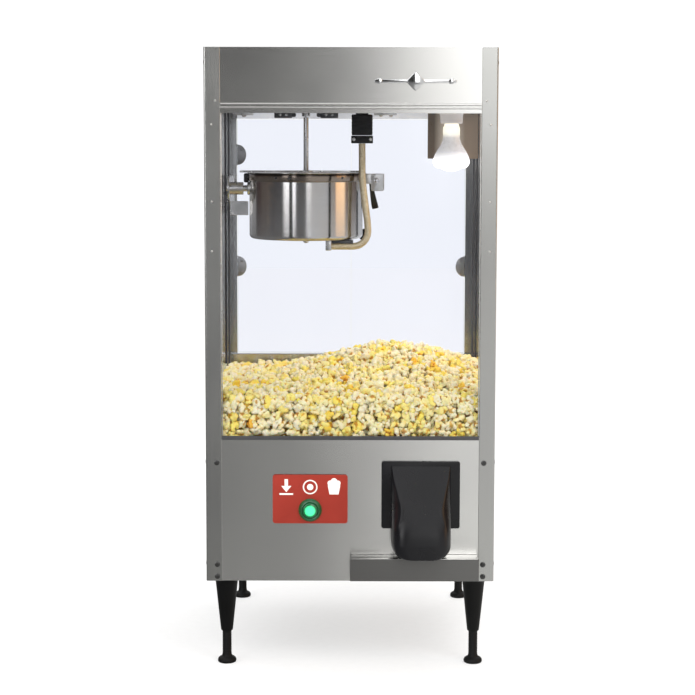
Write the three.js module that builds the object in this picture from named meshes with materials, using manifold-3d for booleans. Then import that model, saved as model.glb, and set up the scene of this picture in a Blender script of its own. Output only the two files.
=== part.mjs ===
// Counter-top self-serve popcorn dispenser: a glazed steel cabinet on four legs, with a tilting
// kettle, a hopper with an auger under it, and a chute that a push button runs.
// Millimetres. +Z is up, +X is the user's right, and the front faces -Y.
// The origin is the middle of the bounding box in plan, on the surface that the feet stand on.

import * as THREE from 'three';
import { mergeVertices } from 'three/addons/utils/BufferGeometryUtils.js';
import Module from 'manifold-3d';

const wasm = await Module();
wasm.setup();

// ------------------------------------------------------------------ driving dimensions

const WIDTH = 508;
const DEPTH = 508;
const TOP = 1090;
const LEG_HEIGHT = 154;
const HOOD_OUT = 75; // the chute stands out this far in front of the cabinet
const KNOB_OUT = 25; // the door knobs stand out this far behind it

const SHEET = 1.5;
const BEND = 3; // outer radius of a fold in sheet metal
const GAP = 0.3; // play between pieces that touch
const GLASS = 4;

const HALF_WIDTH = WIDTH / 2;
const FRONT = HOOD_OUT - (HOOD_OUT + DEPTH + KNOB_OUT) / 2;
const BACK = FRONT + DEPTH;

const SILL = 412; // top edge of the front panel
const HEADER_LIP = 977; // lower edge of the header
const REAR_HEADER_LIP = 970; // lower edge of the panel over the doors
const CEILING = 990;
const REAR_SILL = 497;
const GLASS_FOOT = 400; // the panes run down behind the panels to here
const GLASS_HEAD = 985;

const POST_FRONT_FLANGE = 28;
const POST_BACK_FLANGE = 24;
const POST_SIDE_FLANGE = 25;

// Skins lie one sheet behind the posts, and what they carry lies one sheet further in.
const SKIN = SHEET + GAP;
const LINING = 2 * (SHEET + GAP);
const SHELL_HALF = HALF_WIDTH - SKIN;
const PANEL_HALF = 250;
const PANE_HALF = SHELL_HALF - SHEET - GAP; // outer face of the side panes
const CABIN_HALF = PANE_HALF - GLASS - 0.4;
const FLOOR_BACK = BACK - 17;

const KETTLE = { x: -86.5, y: 115, radius: 108.7, rim: 111.5, inner: 105, foot: 741, lip: 866 };
const PIVOT_Z = 836;
const TRUNNION_RADIUS = 6;
const SHAFT_RADIUS = 4.8;
const SHAFT_TOP = 972;

const LAMP = { x: 185.8, y: 0 };
const PLUG = { x: 20.5, y: 52 };
const CONDUIT_RADIUS = 6.5;

const AUGER = { x: 124, z: 312, flight: 46, shaft: 8, pitch: 84 };
const TROUGH_RADIUS = 50.5;
const SLOT_HALF = 50;

const CHUTE = { x: 124, half: 52, foot: 209, head: 361, wall: 2.5 };
const MOUTH = { half: 45, foot: 266, head: 352 };
const BUTTON = { x: -70.5, z: 282, hole: 12.4 };
const LABEL = { half: 66, foot: 258, head: 345 };

const DOOR_HINGE_X = 229.5;
const DOOR_HINGE_Y = BACK + 3.3;
const HINGE_LEVELS = { upper: 898, lower: 674 };

const LEG_X = 220;
const LEG_INSET = 27; // from the front or back of the cabinet

const ROCKER_X = [40, 90];
const ROCKER_Z = 1034;
const ROCKER_TILT = THREE.MathUtils.degToRad(10);

// ------------------------------------------------------------------ finishes

function finish(color, roughness, metalness, extra = {}) {
  return new THREE.MeshStandardMaterial({ color, roughness, metalness, flatShading: true, ...extra });
}

const steel = () => finish(0xb4b5b4, 0.35, 0.9);
const darkSteel = () => finish(0x55575a, 0.4, 0.9);
const chrome = () => finish(0xd8dadc, 0.15, 1);
const black = () => finish(0x17181a, 0.45, 0);
const rubber = () => finish(0x101010, 0.85, 0);
const castMotor = () => finish(0x50545a, 0.6, 0.5);
const clear = () => finish(0xeaf2f4, 0.05, 0, { transparent: true, opacity: 0.25 });
const label = () => finish(0xa63c30, 0.5, 0);
const green = () => finish(0x1fc97c, 0.25, 0);
const brass = () => finish(0xb59b6a, 0.35, 0.9);
const frosted = () => finish(0xfff8e6, 0.6, 0);
const porcelain = () => finish(0xece6da, 0.4, 0);
const corn = () => finish(0xf1e3ae, 0.9, 0);

// ------------------------------------------------------------------ solids

function solid(geometry) {
  geometry.deleteAttribute('normal');
  geometry.deleteAttribute('uv');
  const merged = mergeVertices(geometry);
  const corners = merged.index.array;
  const triangles = [];
  for (let i = 0; i < corners.length; i += 3) {
    const [a, b, c] = [corners[i], corners[i + 1], corners[i + 2]];
    if (a !== b && b !== c && c !== a) triangles.push(a, b, c);
  }
  return new wasm.Manifold(new wasm.Mesh({
    numProp: 3,
    vertProperties: new Float32Array(merged.attributes.position.array),
    triVerts: new Uint32Array(triangles),
  }));
}

function indexed(points, triangles) {
  const geometry = new THREE.BufferGeometry();
  geometry.setAttribute('position', new THREE.Float32BufferAttribute(points.flat(), 3));
  geometry.setIndex(triangles.flat());
  return solid(geometry);
}

function mesh(name, shape, material) {
  const { vertProperties, triVerts } = shape.getMesh();
  const geometry = new THREE.BufferGeometry();
  geometry.setAttribute('position', new THREE.BufferAttribute(vertProperties, 3));
  geometry.setIndex(new THREE.BufferAttribute(triVerts, 1));
  const result = new THREE.Mesh(geometry, material);
  result.name = name;
  return result;
}

function at(object, x, y, z) {
  object.position.set(x, y, z);
  return object;
}

function block(x0, x1, y0, y1, z0, z1) {
  const geometry = new THREE.BoxGeometry(x1 - x0, y1 - y0, z1 - z0);
  return solid(geometry.translate((x0 + x1) / 2, (y0 + y1) / 2, (z0 + z1) / 2));
}

// Turns a profile of [radius, height] points about the Z axis.
function turned(profile, segments = 24) {
  const points = profile.map(([radius, height]) => new THREE.Vector2(radius, height));
  if (THREE.ShapeUtils.isClockWise(points)) points.reverse();
  const closesOnAxis = points[0].x === 0 && points.at(-1).x === 0;
  if (!closesOnAxis) points.push(points[0].clone());
  return solid(new THREE.LatheGeometry(points, segments).rotateX(Math.PI / 2));
}

function rod(radius, z0, z1, segments = 20) {
  return turned([[0, z0], [radius, z0], [radius, z1], [0, z1]], segments);
}

function rodAlongX(radius, x0, x1, y, z) {
  return rod(radius, x0, x1).rotate([0, 90, 0]).translate([0, y, z]);
}

// Outline in plan (x, y), with height from z0 to z1.
function plate(outline, z0, z1) {
  const options = { depth: z1 - z0, bevelEnabled: false, curveSegments: 3 };
  return solid(new THREE.ExtrudeGeometry(outline, options).translate(0, 0, z0));
}

// Outline in front view (x, z), with depth from y0 to y1.
function elevation(outline, y0, y1) {
  return plate(outline, -y1, -y0).rotate([90, 0, 0]);
}

// Outline in side view (y, z), with width from x0 to x1.
function sideView(outline, x0, x1) {
  return plate(outline, x0, x1).rotate([90, 0, 90]);
}

function rectangle(x0, x1, y0, y1) {
  return new THREE.Shape().moveTo(x0, y0).lineTo(x1, y0).lineTo(x1, y1).lineTo(x0, y1);
}

function roundedRectangle(x0, x1, y0, y1, radius) {
  const quarter = Math.PI / 2;
  const shape = new THREE.Shape();
  shape.absarc(x1 - radius, y0 + radius, radius, -quarter, 0);
  shape.absarc(x1 - radius, y1 - radius, radius, 0, quarter);
  shape.absarc(x0 + radius, y1 - radius, radius, quarter, 2 * quarter);
  shape.absarc(x0 + radius, y0 + radius, radius, 2 * quarter, 3 * quarter);
  return shape;
}

function circle(x, y, radius) {
  const shape = new THREE.Shape();
  for (let quarter = 0; quarter < 4; quarter += 1) {
    shape.absarc(x, y, radius, (quarter * Math.PI) / 2, ((quarter + 1) * Math.PI) / 2);
  }
  return shape;
}

function withHoles(outline, ...holes) {
  outline.holes.push(...holes);
  return outline;
}

// Replaces each corner of a path by a short curve, as a press brake does.
function rounded(path, radius) {
  const points = path.map(([x, y]) => new THREE.Vector2(x, y));
  const line = [points[0]];
  for (let i = 1; i < points.length - 1; i += 1) {
    const corner = points[i];
    const toBefore = points[i - 1].clone().sub(corner).normalize();
    const toAfter = points[i + 1].clone().sub(corner).normalize();
    const reach = radius / Math.tan(toBefore.angleTo(toAfter) / 2);
    const start = corner.clone().addScaledVector(toBefore, reach);
    const end = corner.clone().addScaledVector(toAfter, reach);
    line.push(...new THREE.QuadraticBezierCurve(start, corner, end).getPoints(3));
  }
  line.push(points.at(-1));
  return line;
}

function leftNormal(from, to) {
  const along = to.clone().sub(from).normalize();
  return new THREE.Vector2(-along.y, along.x);
}

// Outline of a folded sheet: one face follows the path, and the sheet lies to its left.
function folded(path, thickness = SHEET, radius = BEND) {
  const line = rounded(path, radius);
  const last = line.length - 1;
  const otherFace = line.map((point, i) => {
    const before = leftNormal(line[Math.max(i - 1, 0)], line[Math.max(i, 1)]);
    const after = leftNormal(line[Math.min(i, last - 1)], line[Math.min(i + 1, last)]);
    const middle = before.clone().add(after).normalize();
    return point.clone().addScaledVector(middle, thickness / middle.dot(before));
  });
  return new THREE.Shape([...line, ...otherFace.reverse()]);
}

// A solid through a row of rings that all have the same number of points.
function loft(rings) {
  const count = rings[0].length;
  const last = (rings.length - 1) * count;
  const triangles = [];
  for (let ring = 0; ring < last; ring += count) {
    for (let i = 0; i < count; i += 1) {
      const a = ring + i;
      const b = ring + ((i + 1) % count);
      triangles.push([a, b, b + count], [a, b + count, a + count]);
    }
  }
  for (let i = 1; i < count - 1; i += 1) {
    triangles.push([0, i + 1, i], [last, last + i, last + i + 1]);
  }
  return indexed(rings.flat(), triangles);
}

// A block over a rectangle, between two surfaces that are given as heights.
function heaped(x0, x1, y0, y1, columns, rows, bottom, top) {
  const points = [];
  for (let i = 0; i <= columns; i += 1) {
    for (let j = 0; j <= rows; j += 1) {
      const x = THREE.MathUtils.lerp(x0, x1, i / columns);
      const y = THREE.MathUtils.lerp(y0, y1, j / rows);
      points.push([x, y, bottom(x, y)], [x, y, top(x, y)]);
    }
  }
  const under = (i, j) => 2 * (i * (rows + 1) + j);
  const over = (i, j) => under(i, j) + 1;
  const triangles = [];
  const quad = (a, b, c, d) => triangles.push([a, b, c], [a, c, d]);
  for (let i = 0; i < columns; i += 1) {
    for (let j = 0; j < rows; j += 1) {
      quad(over(i, j), over(i + 1, j), over(i + 1, j + 1), over(i, j + 1));
      quad(under(i, j), under(i, j + 1), under(i + 1, j + 1), under(i + 1, j));
    }
  }
  for (let i = 0; i < columns; i += 1) {
    quad(under(i, 0), under(i + 1, 0), over(i + 1, 0), over(i, 0));
    quad(under(i + 1, rows), under(i, rows), over(i, rows), over(i + 1, rows));
  }
  for (let j = 0; j < rows; j += 1) {
    quad(under(0, j + 1), under(0, j), over(0, j), over(0, j + 1));
    quad(under(columns, j), under(columns, j + 1), over(columns, j + 1), over(columns, j));
  }
  return indexed(points, triangles);
}

// ------------------------------------------------------------------ frame and skins

function post(name, sideX, sideY, faceFlange) {
  const cornerX = sideX * HALF_WIDTH;
  const cornerY = sideY < 0 ? FRONT : BACK;
  const path = [
    [cornerX, cornerY - sideY * POST_SIDE_FLANGE],
    [cornerX, cornerY],
    [cornerX - sideX * faceFlange, cornerY],
  ];
  if (sideX * sideY < 0) path.reverse();
  return mesh(name, plate(folded(path), LEG_HEIGHT, TOP), steel());
}

function posts() {
  return [
    post('post_front_left', -1, -1, POST_FRONT_FLANGE),
    post('post_front_right', 1, -1, POST_FRONT_FLANGE),
    post('post_rear_left', -1, 1, POST_BACK_FLANGE),
    post('post_rear_right', 1, 1, POST_BACK_FLANGE),
  ];
}

function lowerShell() {
  const section = folded([
    [-SHELL_HALF, SILL],
    [-SHELL_HALF, LEG_HEIGHT],
    [SHELL_HALF, LEG_HEIGHT],
    [SHELL_HALF, SILL],
  ]);
  return mesh('lower_shell', elevation(section, FRONT + LINING, BACK - LINING), steel());
}

function headerWrap() {
  const section = folded([
    [SHELL_HALF, HEADER_LIP],
    [SHELL_HALF, TOP],
    [-SHELL_HALF, TOP],
    [-SHELL_HALF, HEADER_LIP],
  ]);
  return mesh('header_wrap', elevation(section, FRONT + LINING, BACK - LINING), steel());
}

function frontLowerPanel() {
  const outline = withHoles(
    rectangle(-PANEL_HALF, PANEL_HALF, LEG_HEIGHT, SILL),
    rectangle(CHUTE.x - MOUTH.half, CHUTE.x + MOUTH.half, MOUTH.foot, MOUTH.head),
    circle(BUTTON.x, BUTTON.z, BUTTON.hole),
  );
  return mesh('front_lower_panel', elevation(outline, FRONT + SKIN, FRONT + SKIN + SHEET), steel());
}

function headerFascia() {
  const bandHalf = HALF_WIDTH - POST_FRONT_FLANGE - 0.5;
  const bandHead = HEADER_LIP + 18;
  const skin = block(-PANEL_HALF, PANEL_HALF, FRONT + SKIN, FRONT + SKIN + SHEET, HEADER_LIP, TOP);
  const band = block(-bandHalf, bandHalf, FRONT, FRONT + SKIN + 0.5, HEADER_LIP, bandHead);
  const bead = (z) => rodAlongX(2.2, -bandHalf, bandHalf, FRONT + 0.6, z);
  const shape = skin.add(band).add(bead(bandHead - 3)).add(bead(bandHead - 9));
  return mesh('header_fascia', shape, steel());
}

function gland() {
  return { x: -180, z: 205, hole: 9.5 };
}

function rearLowerPanel() {
  const outline = withHoles(
    rectangle(-PANEL_HALF, PANEL_HALF, LEG_HEIGHT, REAR_SILL),
    circle(gland().x, gland().z, gland().hole),
  );
  const inner = BACK - SKIN - SHEET;
  const skin = elevation(outline, inner, inner + SHEET);
  const lip = block(-CABIN_HALF, CABIN_HALF, BACK - 15, inner + 0.5, REAR_SILL - SHEET, REAR_SILL);
  return mesh('rear_lower_panel', skin.add(lip), steel());
}

function rearControlPanel() {
  const inner = BACK - SKIN - SHEET;
  const skin = block(-PANEL_HALF, PANEL_HALF, inner, inner + SHEET, REAR_HEADER_LIP, TOP);
  const cutouts = ROCKER_X.map((x) => (
    block(x - 12, x + 12, inner - 1, BACK, ROCKER_Z - 17, ROCKER_Z + 17)
  ));
  const shape = cutouts.reduce((panel, cutout) => panel.subtract(cutout), skin);
  return mesh('rear_control_panel', shape, steel());
}

function ceilingPlate() {
  const outline = withHoles(
    rectangle(-PANEL_HALF, PANEL_HALF, FRONT + LINING, BACK - LINING - 1),
    circle(KETTLE.x, KETTLE.y, 6.5),
  );
  return mesh('ceiling_plate', plate(outline, CEILING, CEILING + SHEET), steel());
}

function cordGland() {
  const { x, z } = gland();
  const profile = [[6, -14], [9, -14], [9, 0.3], [15, 0.3], [15, 4], [12, 9], [8.5, 14], [6, 14]];
  const piece = at(mesh('cord_gland', turned(profile, 20), black()), x, BACK - SKIN, z);
  piece.rotation.x = -Math.PI / 2;
  return piece;
}

// ------------------------------------------------------------------ glazing

function panes() {
  const frontFace = FRONT + LINING;
  const sideStart = frontFace + GLASS + 0.4;
  const front = block(-249, 249, frontFace, frontFace + GLASS, GLASS_FOOT, GLASS_HEAD);
  const side = (x0, x1) => block(x0, x1, sideStart, BACK - 4, GLASS_FOOT, GLASS_HEAD);
  return [
    mesh('front_window', front, clear()),
    mesh('left_window', side(-PANE_HALF, GLASS - PANE_HALF), clear()),
    mesh('right_window', side(PANE_HALF - GLASS, PANE_HALF), clear()),
  ];
}

function knob() {
  const neck = [[0, -0.2], [6, -0.2], [6, 5], [5, 8], [6.5, 12]];
  const head = [[11, 16], [12, 20], [10, 24], [0, KNOB_OUT]];
  return turned([...neck, ...head], 16);
}

// Doors swing on the rear posts: each group's origin is its hinge line.
function door(name, side) {
  const reach = [side * (0.8 - DOOR_HINGE_X), side * (228.2 - DOOR_HINGE_X)].sort((a, b) => a - b);
  const outerFace = BACK - 0.5 - DOOR_HINGE_Y;
  const pane = block(...reach, outerFace - 5, outerFace, REAR_SILL + 2, REAR_HEADER_LIP - 2);
  const handle = mesh(`door_knob_${name}`, knob(), black());
  handle.position.set(side * (26 - DOOR_HINGE_X), outerFace + 0.5, 737);
  handle.rotation.x = -Math.PI / 2;
  const group = at(new THREE.Group(), side * DOOR_HINGE_X, DOOR_HINGE_Y, 0);
  group.add(mesh(`door_${name}`, pane, clear()), handle);
  return group;
}

function hinge(name, side, z) {
  const leafFace = BACK + GAP - DOOR_HINGE_Y;
  const leaf = block(side > 0 ? 1.5 : -18.5, side > 0 ? 18.5 : -1.5, leafFace, leafFace + 2, -20, 20);
  const barrel = rod(3, -20, 20, 16);
  return at(mesh(name, leaf.add(barrel), chrome()), side * DOOR_HINGE_X, DOOR_HINGE_Y, z);
}

function hinges() {
  const pieces = [];
  for (const [sideName, side] of [['left', -1], ['right', 1]]) {
    for (const [level, z] of Object.entries(HINGE_LEVELS)) {
      pieces.push(hinge(`hinge_${sideName}_${level}`, side, z));
    }
  }
  return pieces;
}

// ------------------------------------------------------------------ hopper and auger

// Top face of the hopper floor: it falls to a flat strip over the auger.
const FLOOR_LINE = [
  [-CABIN_HALF, 405.5],
  [AUGER.x - 58, 376.5],
  [AUGER.x + 56, 376.5],
  [CABIN_HALF, 391.5],
];

function floorHeight(x) {
  const end = FLOOR_LINE.findIndex(([px]) => px >= x);
  if (end <= 0) return FLOOR_LINE[end === 0 ? 0 : FLOOR_LINE.length - 1][1];
  const [x0, z0] = FLOOR_LINE[end - 1];
  const [x1, z1] = FLOOR_LINE[end];
  return THREE.MathUtils.mapLinear(x, x0, x1, z0, z1);
}

function hopperFloor() {
  const section = folded([...FLOOR_LINE].reverse(), SHEET, BEND);
  const floor = elevation(section, FRONT + LINING + GLASS + 0.6, FLOOR_BACK);
  const slot = block(AUGER.x - SLOT_HALF, AUGER.x + SLOT_HALF, FRONT + 14, BACK - 75, 360, 390);
  return mesh('hopper_floor', floor.subtract(slot), steel());
}

function augerTrough() {
  const outer = TROUGH_RADIUS + SHEET;
  const head = 376.5 - SHEET - GAP - AUGER.z;
  const section = (radius, top) => new THREE.Shape()
    .moveTo(-radius, top)
    .lineTo(-radius, 0)
    .absarc(0, 0, radius, Math.PI, 1.5 * Math.PI)
    .absarc(0, 0, radius, 1.5 * Math.PI, 2 * Math.PI)
    .lineTo(radius, top);
  const [start, end] = [FRONT + LINING, BACK - 72];
  const body = elevation(section(outer, head), start, end);
  const hollow = elevation(section(TROUGH_RADIUS, head + 1), start - 1, end - SHEET);
  const shaftHole = rod(AUGER.shaft + 1.5, -20, 20).rotate([90, 0, 0]).translate([0, end, 0]);
  const shape = body.subtract(hollow).subtract(shaftHole);
  return at(mesh('auger_trough', shape, steel()), AUGER.x, 0, AUGER.z);
}

function auger() {
  const [start, end] = [FRONT + 12, BACK - 78];
  const turns = (end - start) / AUGER.pitch;
  const steps = Math.round(turns * 15);
  const rings = [];
  for (let i = 0; i <= steps; i += 1) {
    const angle = (2 * Math.PI * turns * i) / steps;
    const z = (AUGER.pitch * turns * i) / steps;
    const ring = [[6, z], [6, z + 2.5], [AUGER.flight, z + 2.5], [AUGER.flight, z]];
    rings.push(ring.map(([radius, height]) => [
      radius * Math.cos(angle),
      radius * Math.sin(angle),
      height,
    ]));
  }
  const flight = loft(rings);
  const shaft = rod(AUGER.shaft, -2, BACK - 50 - start, 20);
  const piece = at(mesh('auger', flight.add(shaft), steel()), AUGER.x, start, AUGER.z);
  piece.rotation.x = -Math.PI / 2;
  return piece;
}

function augerGearmotor() {
  const [start, end] = [BACK - 71.7, BACK - 10];
  const gearcase = block(-38, 38, start, start + 28, -32, 32);
  const motor = rod(30, 0, end - start - 26).rotate([-90, 0, 0]).translate([0, start + 26, 0]);
  const bore = rod(AUGER.shaft + 0.6, 0, 25).rotate([-90, 0, 0]).translate([0, start - 1, 0]);
  const shape = gearcase.add(motor).subtract(bore);
  return at(mesh('auger_gearmotor', shape, castMotor()), AUGER.x, 0, AUGER.z);
}

function popcornHeap() {
  const hump = (x, y, cx, cy, width, depth) => (
    Math.exp(-(((x - cx) / width) ** 2) - ((y - cy) / depth) ** 2)
  );
  const top = (x, y) => 482
    + 62 * hump(x, y, 95, 80, 170, 170)
    + 16 * hump(x, y, 240, 150, 90, 120)
    + 10 * hump(x, y, -230, -40, 90, 160)
    + 3 * Math.sin(x / 21) * Math.cos(y / 17);
  const half = CABIN_HALF - 0.5;
  const bottom = (x) => floorHeight(x) + 2 * GAP;
  const shape = heaped(-half, half, FRONT + 8.5, FLOOR_BACK, 13, 12, bottom, top);
  return mesh('popcorn', shape, corn());
}

// ------------------------------------------------------------------ dispensing front

// How far the hood stands out, and how wide its flat front is, at each height.
const HOOD_RINGS = [
  { z: CHUTE.foot, out: 72.5, flat: 40 },
  { z: 235, out: 72.5, flat: 40 },
  { z: 255, out: 70, flat: 38 },
  { z: 275, out: 62, flat: 36 },
  { z: 300, out: 46, flat: 37 },
  { z: 340, out: 17, flat: 46 },
  { z: CHUTE.head, out: 2, flat: 50 },
];

function hoodBody(inset, base) {
  const half = CHUTE.half - inset;
  const plateFront = CHUTE.wall;
  return loft(HOOD_RINGS.map(({ z, out, flat }) => {
    const face = plateFront + Math.max(out - inset, 0.3);
    const shoulder = plateFront + 0.4 * Math.max(out - inset, 0.3);
    const height = z === CHUTE.head ? z - inset : z;
    return [
      [-half, height, base],
      [-half, height, shoulder],
      [-flat, height, face],
      [flat, height, face],
      [half, height, shoulder],
      [half, height, base],
    ];
  }));
}

// Front view of the hood: straight sides, and round corners at the foot.
function hoodFace(inset) {
  const half = CHUTE.half - inset;
  const radius = 20 - inset;
  return plate(roundedRectangle(-half, half, CHUTE.foot + inset, CHUTE.head + 60, radius), -10, 90);
}

function dispensingChute() {
  const plateShape = roundedRectangle(-69, 69, 249.4, 369.2, 4);
  const backPlate = plate(plateShape, -SHEET, CHUTE.wall);
  const hood = hoodBody(0, 0).intersect(hoodFace(0));
  const hollow = hoodBody(CHUTE.wall, CHUTE.wall).intersect(hoodFace(CHUTE.wall));
  const mouth = block(-MOUTH.half, MOUTH.half, MOUTH.foot, MOUTH.head, -10, 4);
  const outlet = block(-32, 32, CHUTE.foot - 5, CHUTE.foot + 8, 8, 62);
  const shape = backPlate.add(hood).subtract(hollow).subtract(mouth).subtract(outlet);
  return at(mesh('dispensing_chute', shape, black()), CHUTE.x, 0, 0);
}

function crumbShelf() {
  const shelf = { x0: 0, x1: 225.5, out: 33, foot: 162, head: 201 };
  const outer = block(shelf.x0, shelf.x1, shelf.foot, shelf.head, -SHEET, shelf.out);
  const hollow = block(
    shelf.x0 + SHEET, shelf.x1 - SHEET,
    shelf.foot - 1, shelf.head - SHEET,
    -SHEET - 1, shelf.out - SHEET,
  );
  return mesh('crumb_shelf', outer.subtract(hollow), steel());
}

function buttonPieces() {
  const flange = [[20.5, GAP], [20.5, 3], [17, 8], [15, 8.5], [14.3, 7.5], [14.3, 1]];
  const barrel = [[10.2, 1], [10.2, -30], [12, -30], [12, GAP]];
  const cap = [[0, 11], [9, 10.3], [13.2, 8.5], [13.9, 7], [13.9, 5.2], [9.8, 5.2], [9.8, -20], [0, -20]];
  const group = at(new THREE.Group(), BUTTON.x, BUTTON.z, -0.7);
  group.add(
    mesh('button_bezel', turned([...flange, ...barrel]), black()),
    mesh('button_cap', turned(cap), green()),
    mesh('button_switch', block(-15, 15, -15, 15, -60, -30.3), black()),
  );
  return group;
}

function buttonLabel() {
  const outline = withHoles(
    roundedRectangle(-LABEL.half, LABEL.half, LABEL.foot, LABEL.head, 5),
    circle(0, BUTTON.z, BUTTON.hole),
  );
  return at(mesh('button_label', plate(outline, -SHEET, -0.7), label()), BUTTON.x, 0, 0);
}

// Pieces on the front face, drawn in front view: x to the right, y up, z out of the cabinet.
function dispensingFront() {
  const group = at(new THREE.Group(), 0, FRONT, 0);
  group.rotation.x = Math.PI / 2;
  group.add(dispensingChute(), crumbShelf(), buttonLabel(), buttonPieces());
  return group;
}

// ------------------------------------------------------------------ lamp

function lamp() {
  const shieldHead = CEILING - GAP;
  const shield = sideView(folded([[168, shieldHead], [150, shieldHead], [150, 893]]), 148, 245);
  const skirt = [[14, 960], [20, 960], [20, 975], [23, 980], [23, shieldHead], [0, shieldHead]];
  const socket = [...skirt, [0, 984], [14, 984]];
  const glass = [[0, 872], [18, 873.5], [30, 879], [35, 889], [34, 899], [15.5, 931], [16, 946], [13, 958]];
  const base = [[13, 982], [0, 982]];
  const group = at(new THREE.Group(), LAMP.x, LAMP.y, 0);
  group.add(
    mesh('lamp_socket', turned(socket), porcelain()),
    mesh('lamp_bulb', turned([...glass, ...base]), frosted()),
  );
  return [mesh('lamp_shield', shield, darkSteel()), group];
}

// ------------------------------------------------------------------ kettle supply

// The route of the kettle's supply conduit, from the plug to the terminal box, as [x, z].
const CONDUIT_ROUTE = [
  [20.5, 922.7],
  [20.6, 910],
  [20.8, 893],
  [20.9, 874],
  [21.6, 855],
  [23.5, 835],
  [25.8, 816],
  [28.4, 796],
  [30.9, 776],
  [32, 757],
  [29.9, 746.3],
  [23.8, 737.2],
  [14.7, 731.1],
  [4, 729],
  [-1.7, 729],
];

function kettleSupply() {
  const outlet = rod(17, 983.3, CEILING - GAP);
  const body = plate(roundedRectangle(-20, 20, -14, 14, 5), 938, 977);
  const clamp = plate(roundedRectangle(-20.5, 20.5, -11, 11, 4), 923, 938.5);
  const neck = rod(12, 976, 983, 20);
  const group = at(new THREE.Group(), PLUG.x, PLUG.y, 0);
  group.add(
    mesh('kettle_outlet', outlet, black()),
    mesh('kettle_plug', body.add(clamp).add(neck), black()),
  );
  const route = new THREE.CatmullRomCurve3(CONDUIT_ROUTE.map(([x, z]) => new THREE.Vector3(x, PLUG.y, z)));
  const section = new THREE.Shape().absarc(0, 0, CONDUIT_RADIUS, 0, 2 * Math.PI);
  const options = { steps: 26, curveSegments: 4, extrudePath: route };
  const conduit = solid(new THREE.ExtrudeGeometry(section, options));
  return [group, mesh('kettle_conduit', conduit, brass())];
}

// ------------------------------------------------------------------ kettle

function kettleBracket() {
  const outline = new THREE.Shape();
  const inner = BACK - SKIN;
  outline.moveTo(inner, 783);
  outline.lineTo(inner, 858);
  outline.lineTo(KETTLE.y + 10, PIVOT_Z + 22);
  outline.absarc(KETTLE.y, PIVOT_Z, 24, Math.PI / 2 - 0.4, Math.PI * 1.5);
  outline.lineTo(KETTLE.y + 60, 783);
  const arm = sideView(outline, -236, -233);
  const flange = block(-246, -234, inner - 3, inner, 783, 858);
  const boss = rodAlongX(12, -234, -207, KETTLE.y, PIVOT_Z);
  const bore = rodAlongX(TRUNNION_RADIUS + 0.6, -240, -200, KETTLE.y, PIVOT_Z);
  const brace = block(-233.5, -198.5, KETTLE.y + 12, KETTLE.y + 15, 784, 811);
  const shape = arm.add(flange).add(boss).add(brace).subtract(bore);
  return mesh('kettle_bracket', shape, steel());
}

function kettleBody() {
  const { radius, rim, inner, foot, lip } = KETTLE;
  const corner = [22.5, 45, 67.5].map((degrees) => {
    const angle = THREE.MathUtils.degToRad(degrees);
    return [radius - 8 + 8 * Math.sin(angle), foot + 8 - 8 * Math.cos(angle)];
  });
  const profile = [
    [0, foot - 10], [6.5, foot - 10], [6.5, foot],
    [radius - 8, foot], ...corner, [radius, foot + 8],
    [radius, 851], [rim, 852.5], [rim, lip],
    [inner, lip], [inner, 762], [inner - 4, 758], [0, 757],
  ];
  const trunnion = rodAlongX(TRUNNION_RADIUS, -240 - KETTLE.x, 1.5 - radius, 0, PIVOT_Z);
  return turned(profile, 40).add(trunnion);
}

function dumpHandle() {
  const yoke = block(25.3, 62, -12, 10, 843, 865.5);
  const window = block(31, 56, -9, 7, 840, 862.5);
  const rimGap = rod(KETTLE.rim + 0.5, 830, 880, 48).translate([KETTLE.x, 0, 0]);
  const side = new THREE.Vector3(1, 0, 0);
  const lever = [[44, 0, 862, 5], [46, 14, 850, 6.5], [49, 30, 830, 8], [52, 44, 808, 9], [53, 50, 798, 6]];
  const rings = lever.map(([x, y, z, half], i) => {
    const [, yBefore, zBefore] = lever[Math.max(i - 1, 0)];
    const [, yAfter, zAfter] = lever[Math.min(i + 1, lever.length - 1)];
    const along = new THREE.Vector3(0, yAfter - yBefore, zAfter - zBefore).normalize();
    const across = new THREE.Vector3().crossVectors(along, side);
    return [0, 1, 2, 3, 4, 5, 6, 7].map((k) => {
      const angle = (k * Math.PI) / 4;
      const point = new THREE.Vector3(x, y, z);
      point.addScaledVector(side, half * Math.cos(angle));
      point.addScaledVector(across, half * Math.sin(angle));
      return point.toArray();
    });
  });
  const bracket = yoke.subtract(window).subtract(rimGap);
  return bracket.add(loft(rings)).translate([-KETTLE.x, 0, 0]);
}

function halfLid(side) {
  const radius = 114;
  const edge = 6.2;
  const disc = rod(radius, 866.4, 867.9, 40);
  const [y0, y1] = [side * edge, side * (radius + 1)].sort((a, b) => a - b);
  const keep = block(-radius - 1, radius + 1, y0, y1, 860, 875);
  return disc.intersect(keep).subtract(rod(14, 860, 875));
}

function lidBar() {
  const bar = block(-214 - KETTLE.x, 27.5 - KETTLE.x, -5, 5, 866.3, 870.3);
  return bar.add(rod(12, 866.3, 870.3)).subtract(rod(SHAFT_RADIUS + 0.8, 860, 880));
}

function agitator() {
  const shaft = rod(SHAFT_RADIUS, 757.6, SHAFT_TOP, 20);
  const tang = block(-2, 2, -4.5, 4.5, SHAFT_TOP - 1, SHAFT_TOP + 7);
  const hub = rod(9, 760, 776, 20);
  const arm = block(0, 95, -3, 3, 760, 766);
  const crossArm = arm.rotate([0, 0, 90]);
  const fingers = [40, 68, 90].map((x) => block(x, x + 4, -3, 3, 765, 778));
  const half = fingers.reduce((sum, finger) => sum.add(finger), arm);
  const longArms = half.add(half.rotate([0, 0, 180]));
  const shortArms = crossArm.add(crossArm.rotate([0, 0, 180])).intersect(rod(62, 750, 790));
  return shaft.add(tang).add(hub).add(longArms).add(shortArms);
}

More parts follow.
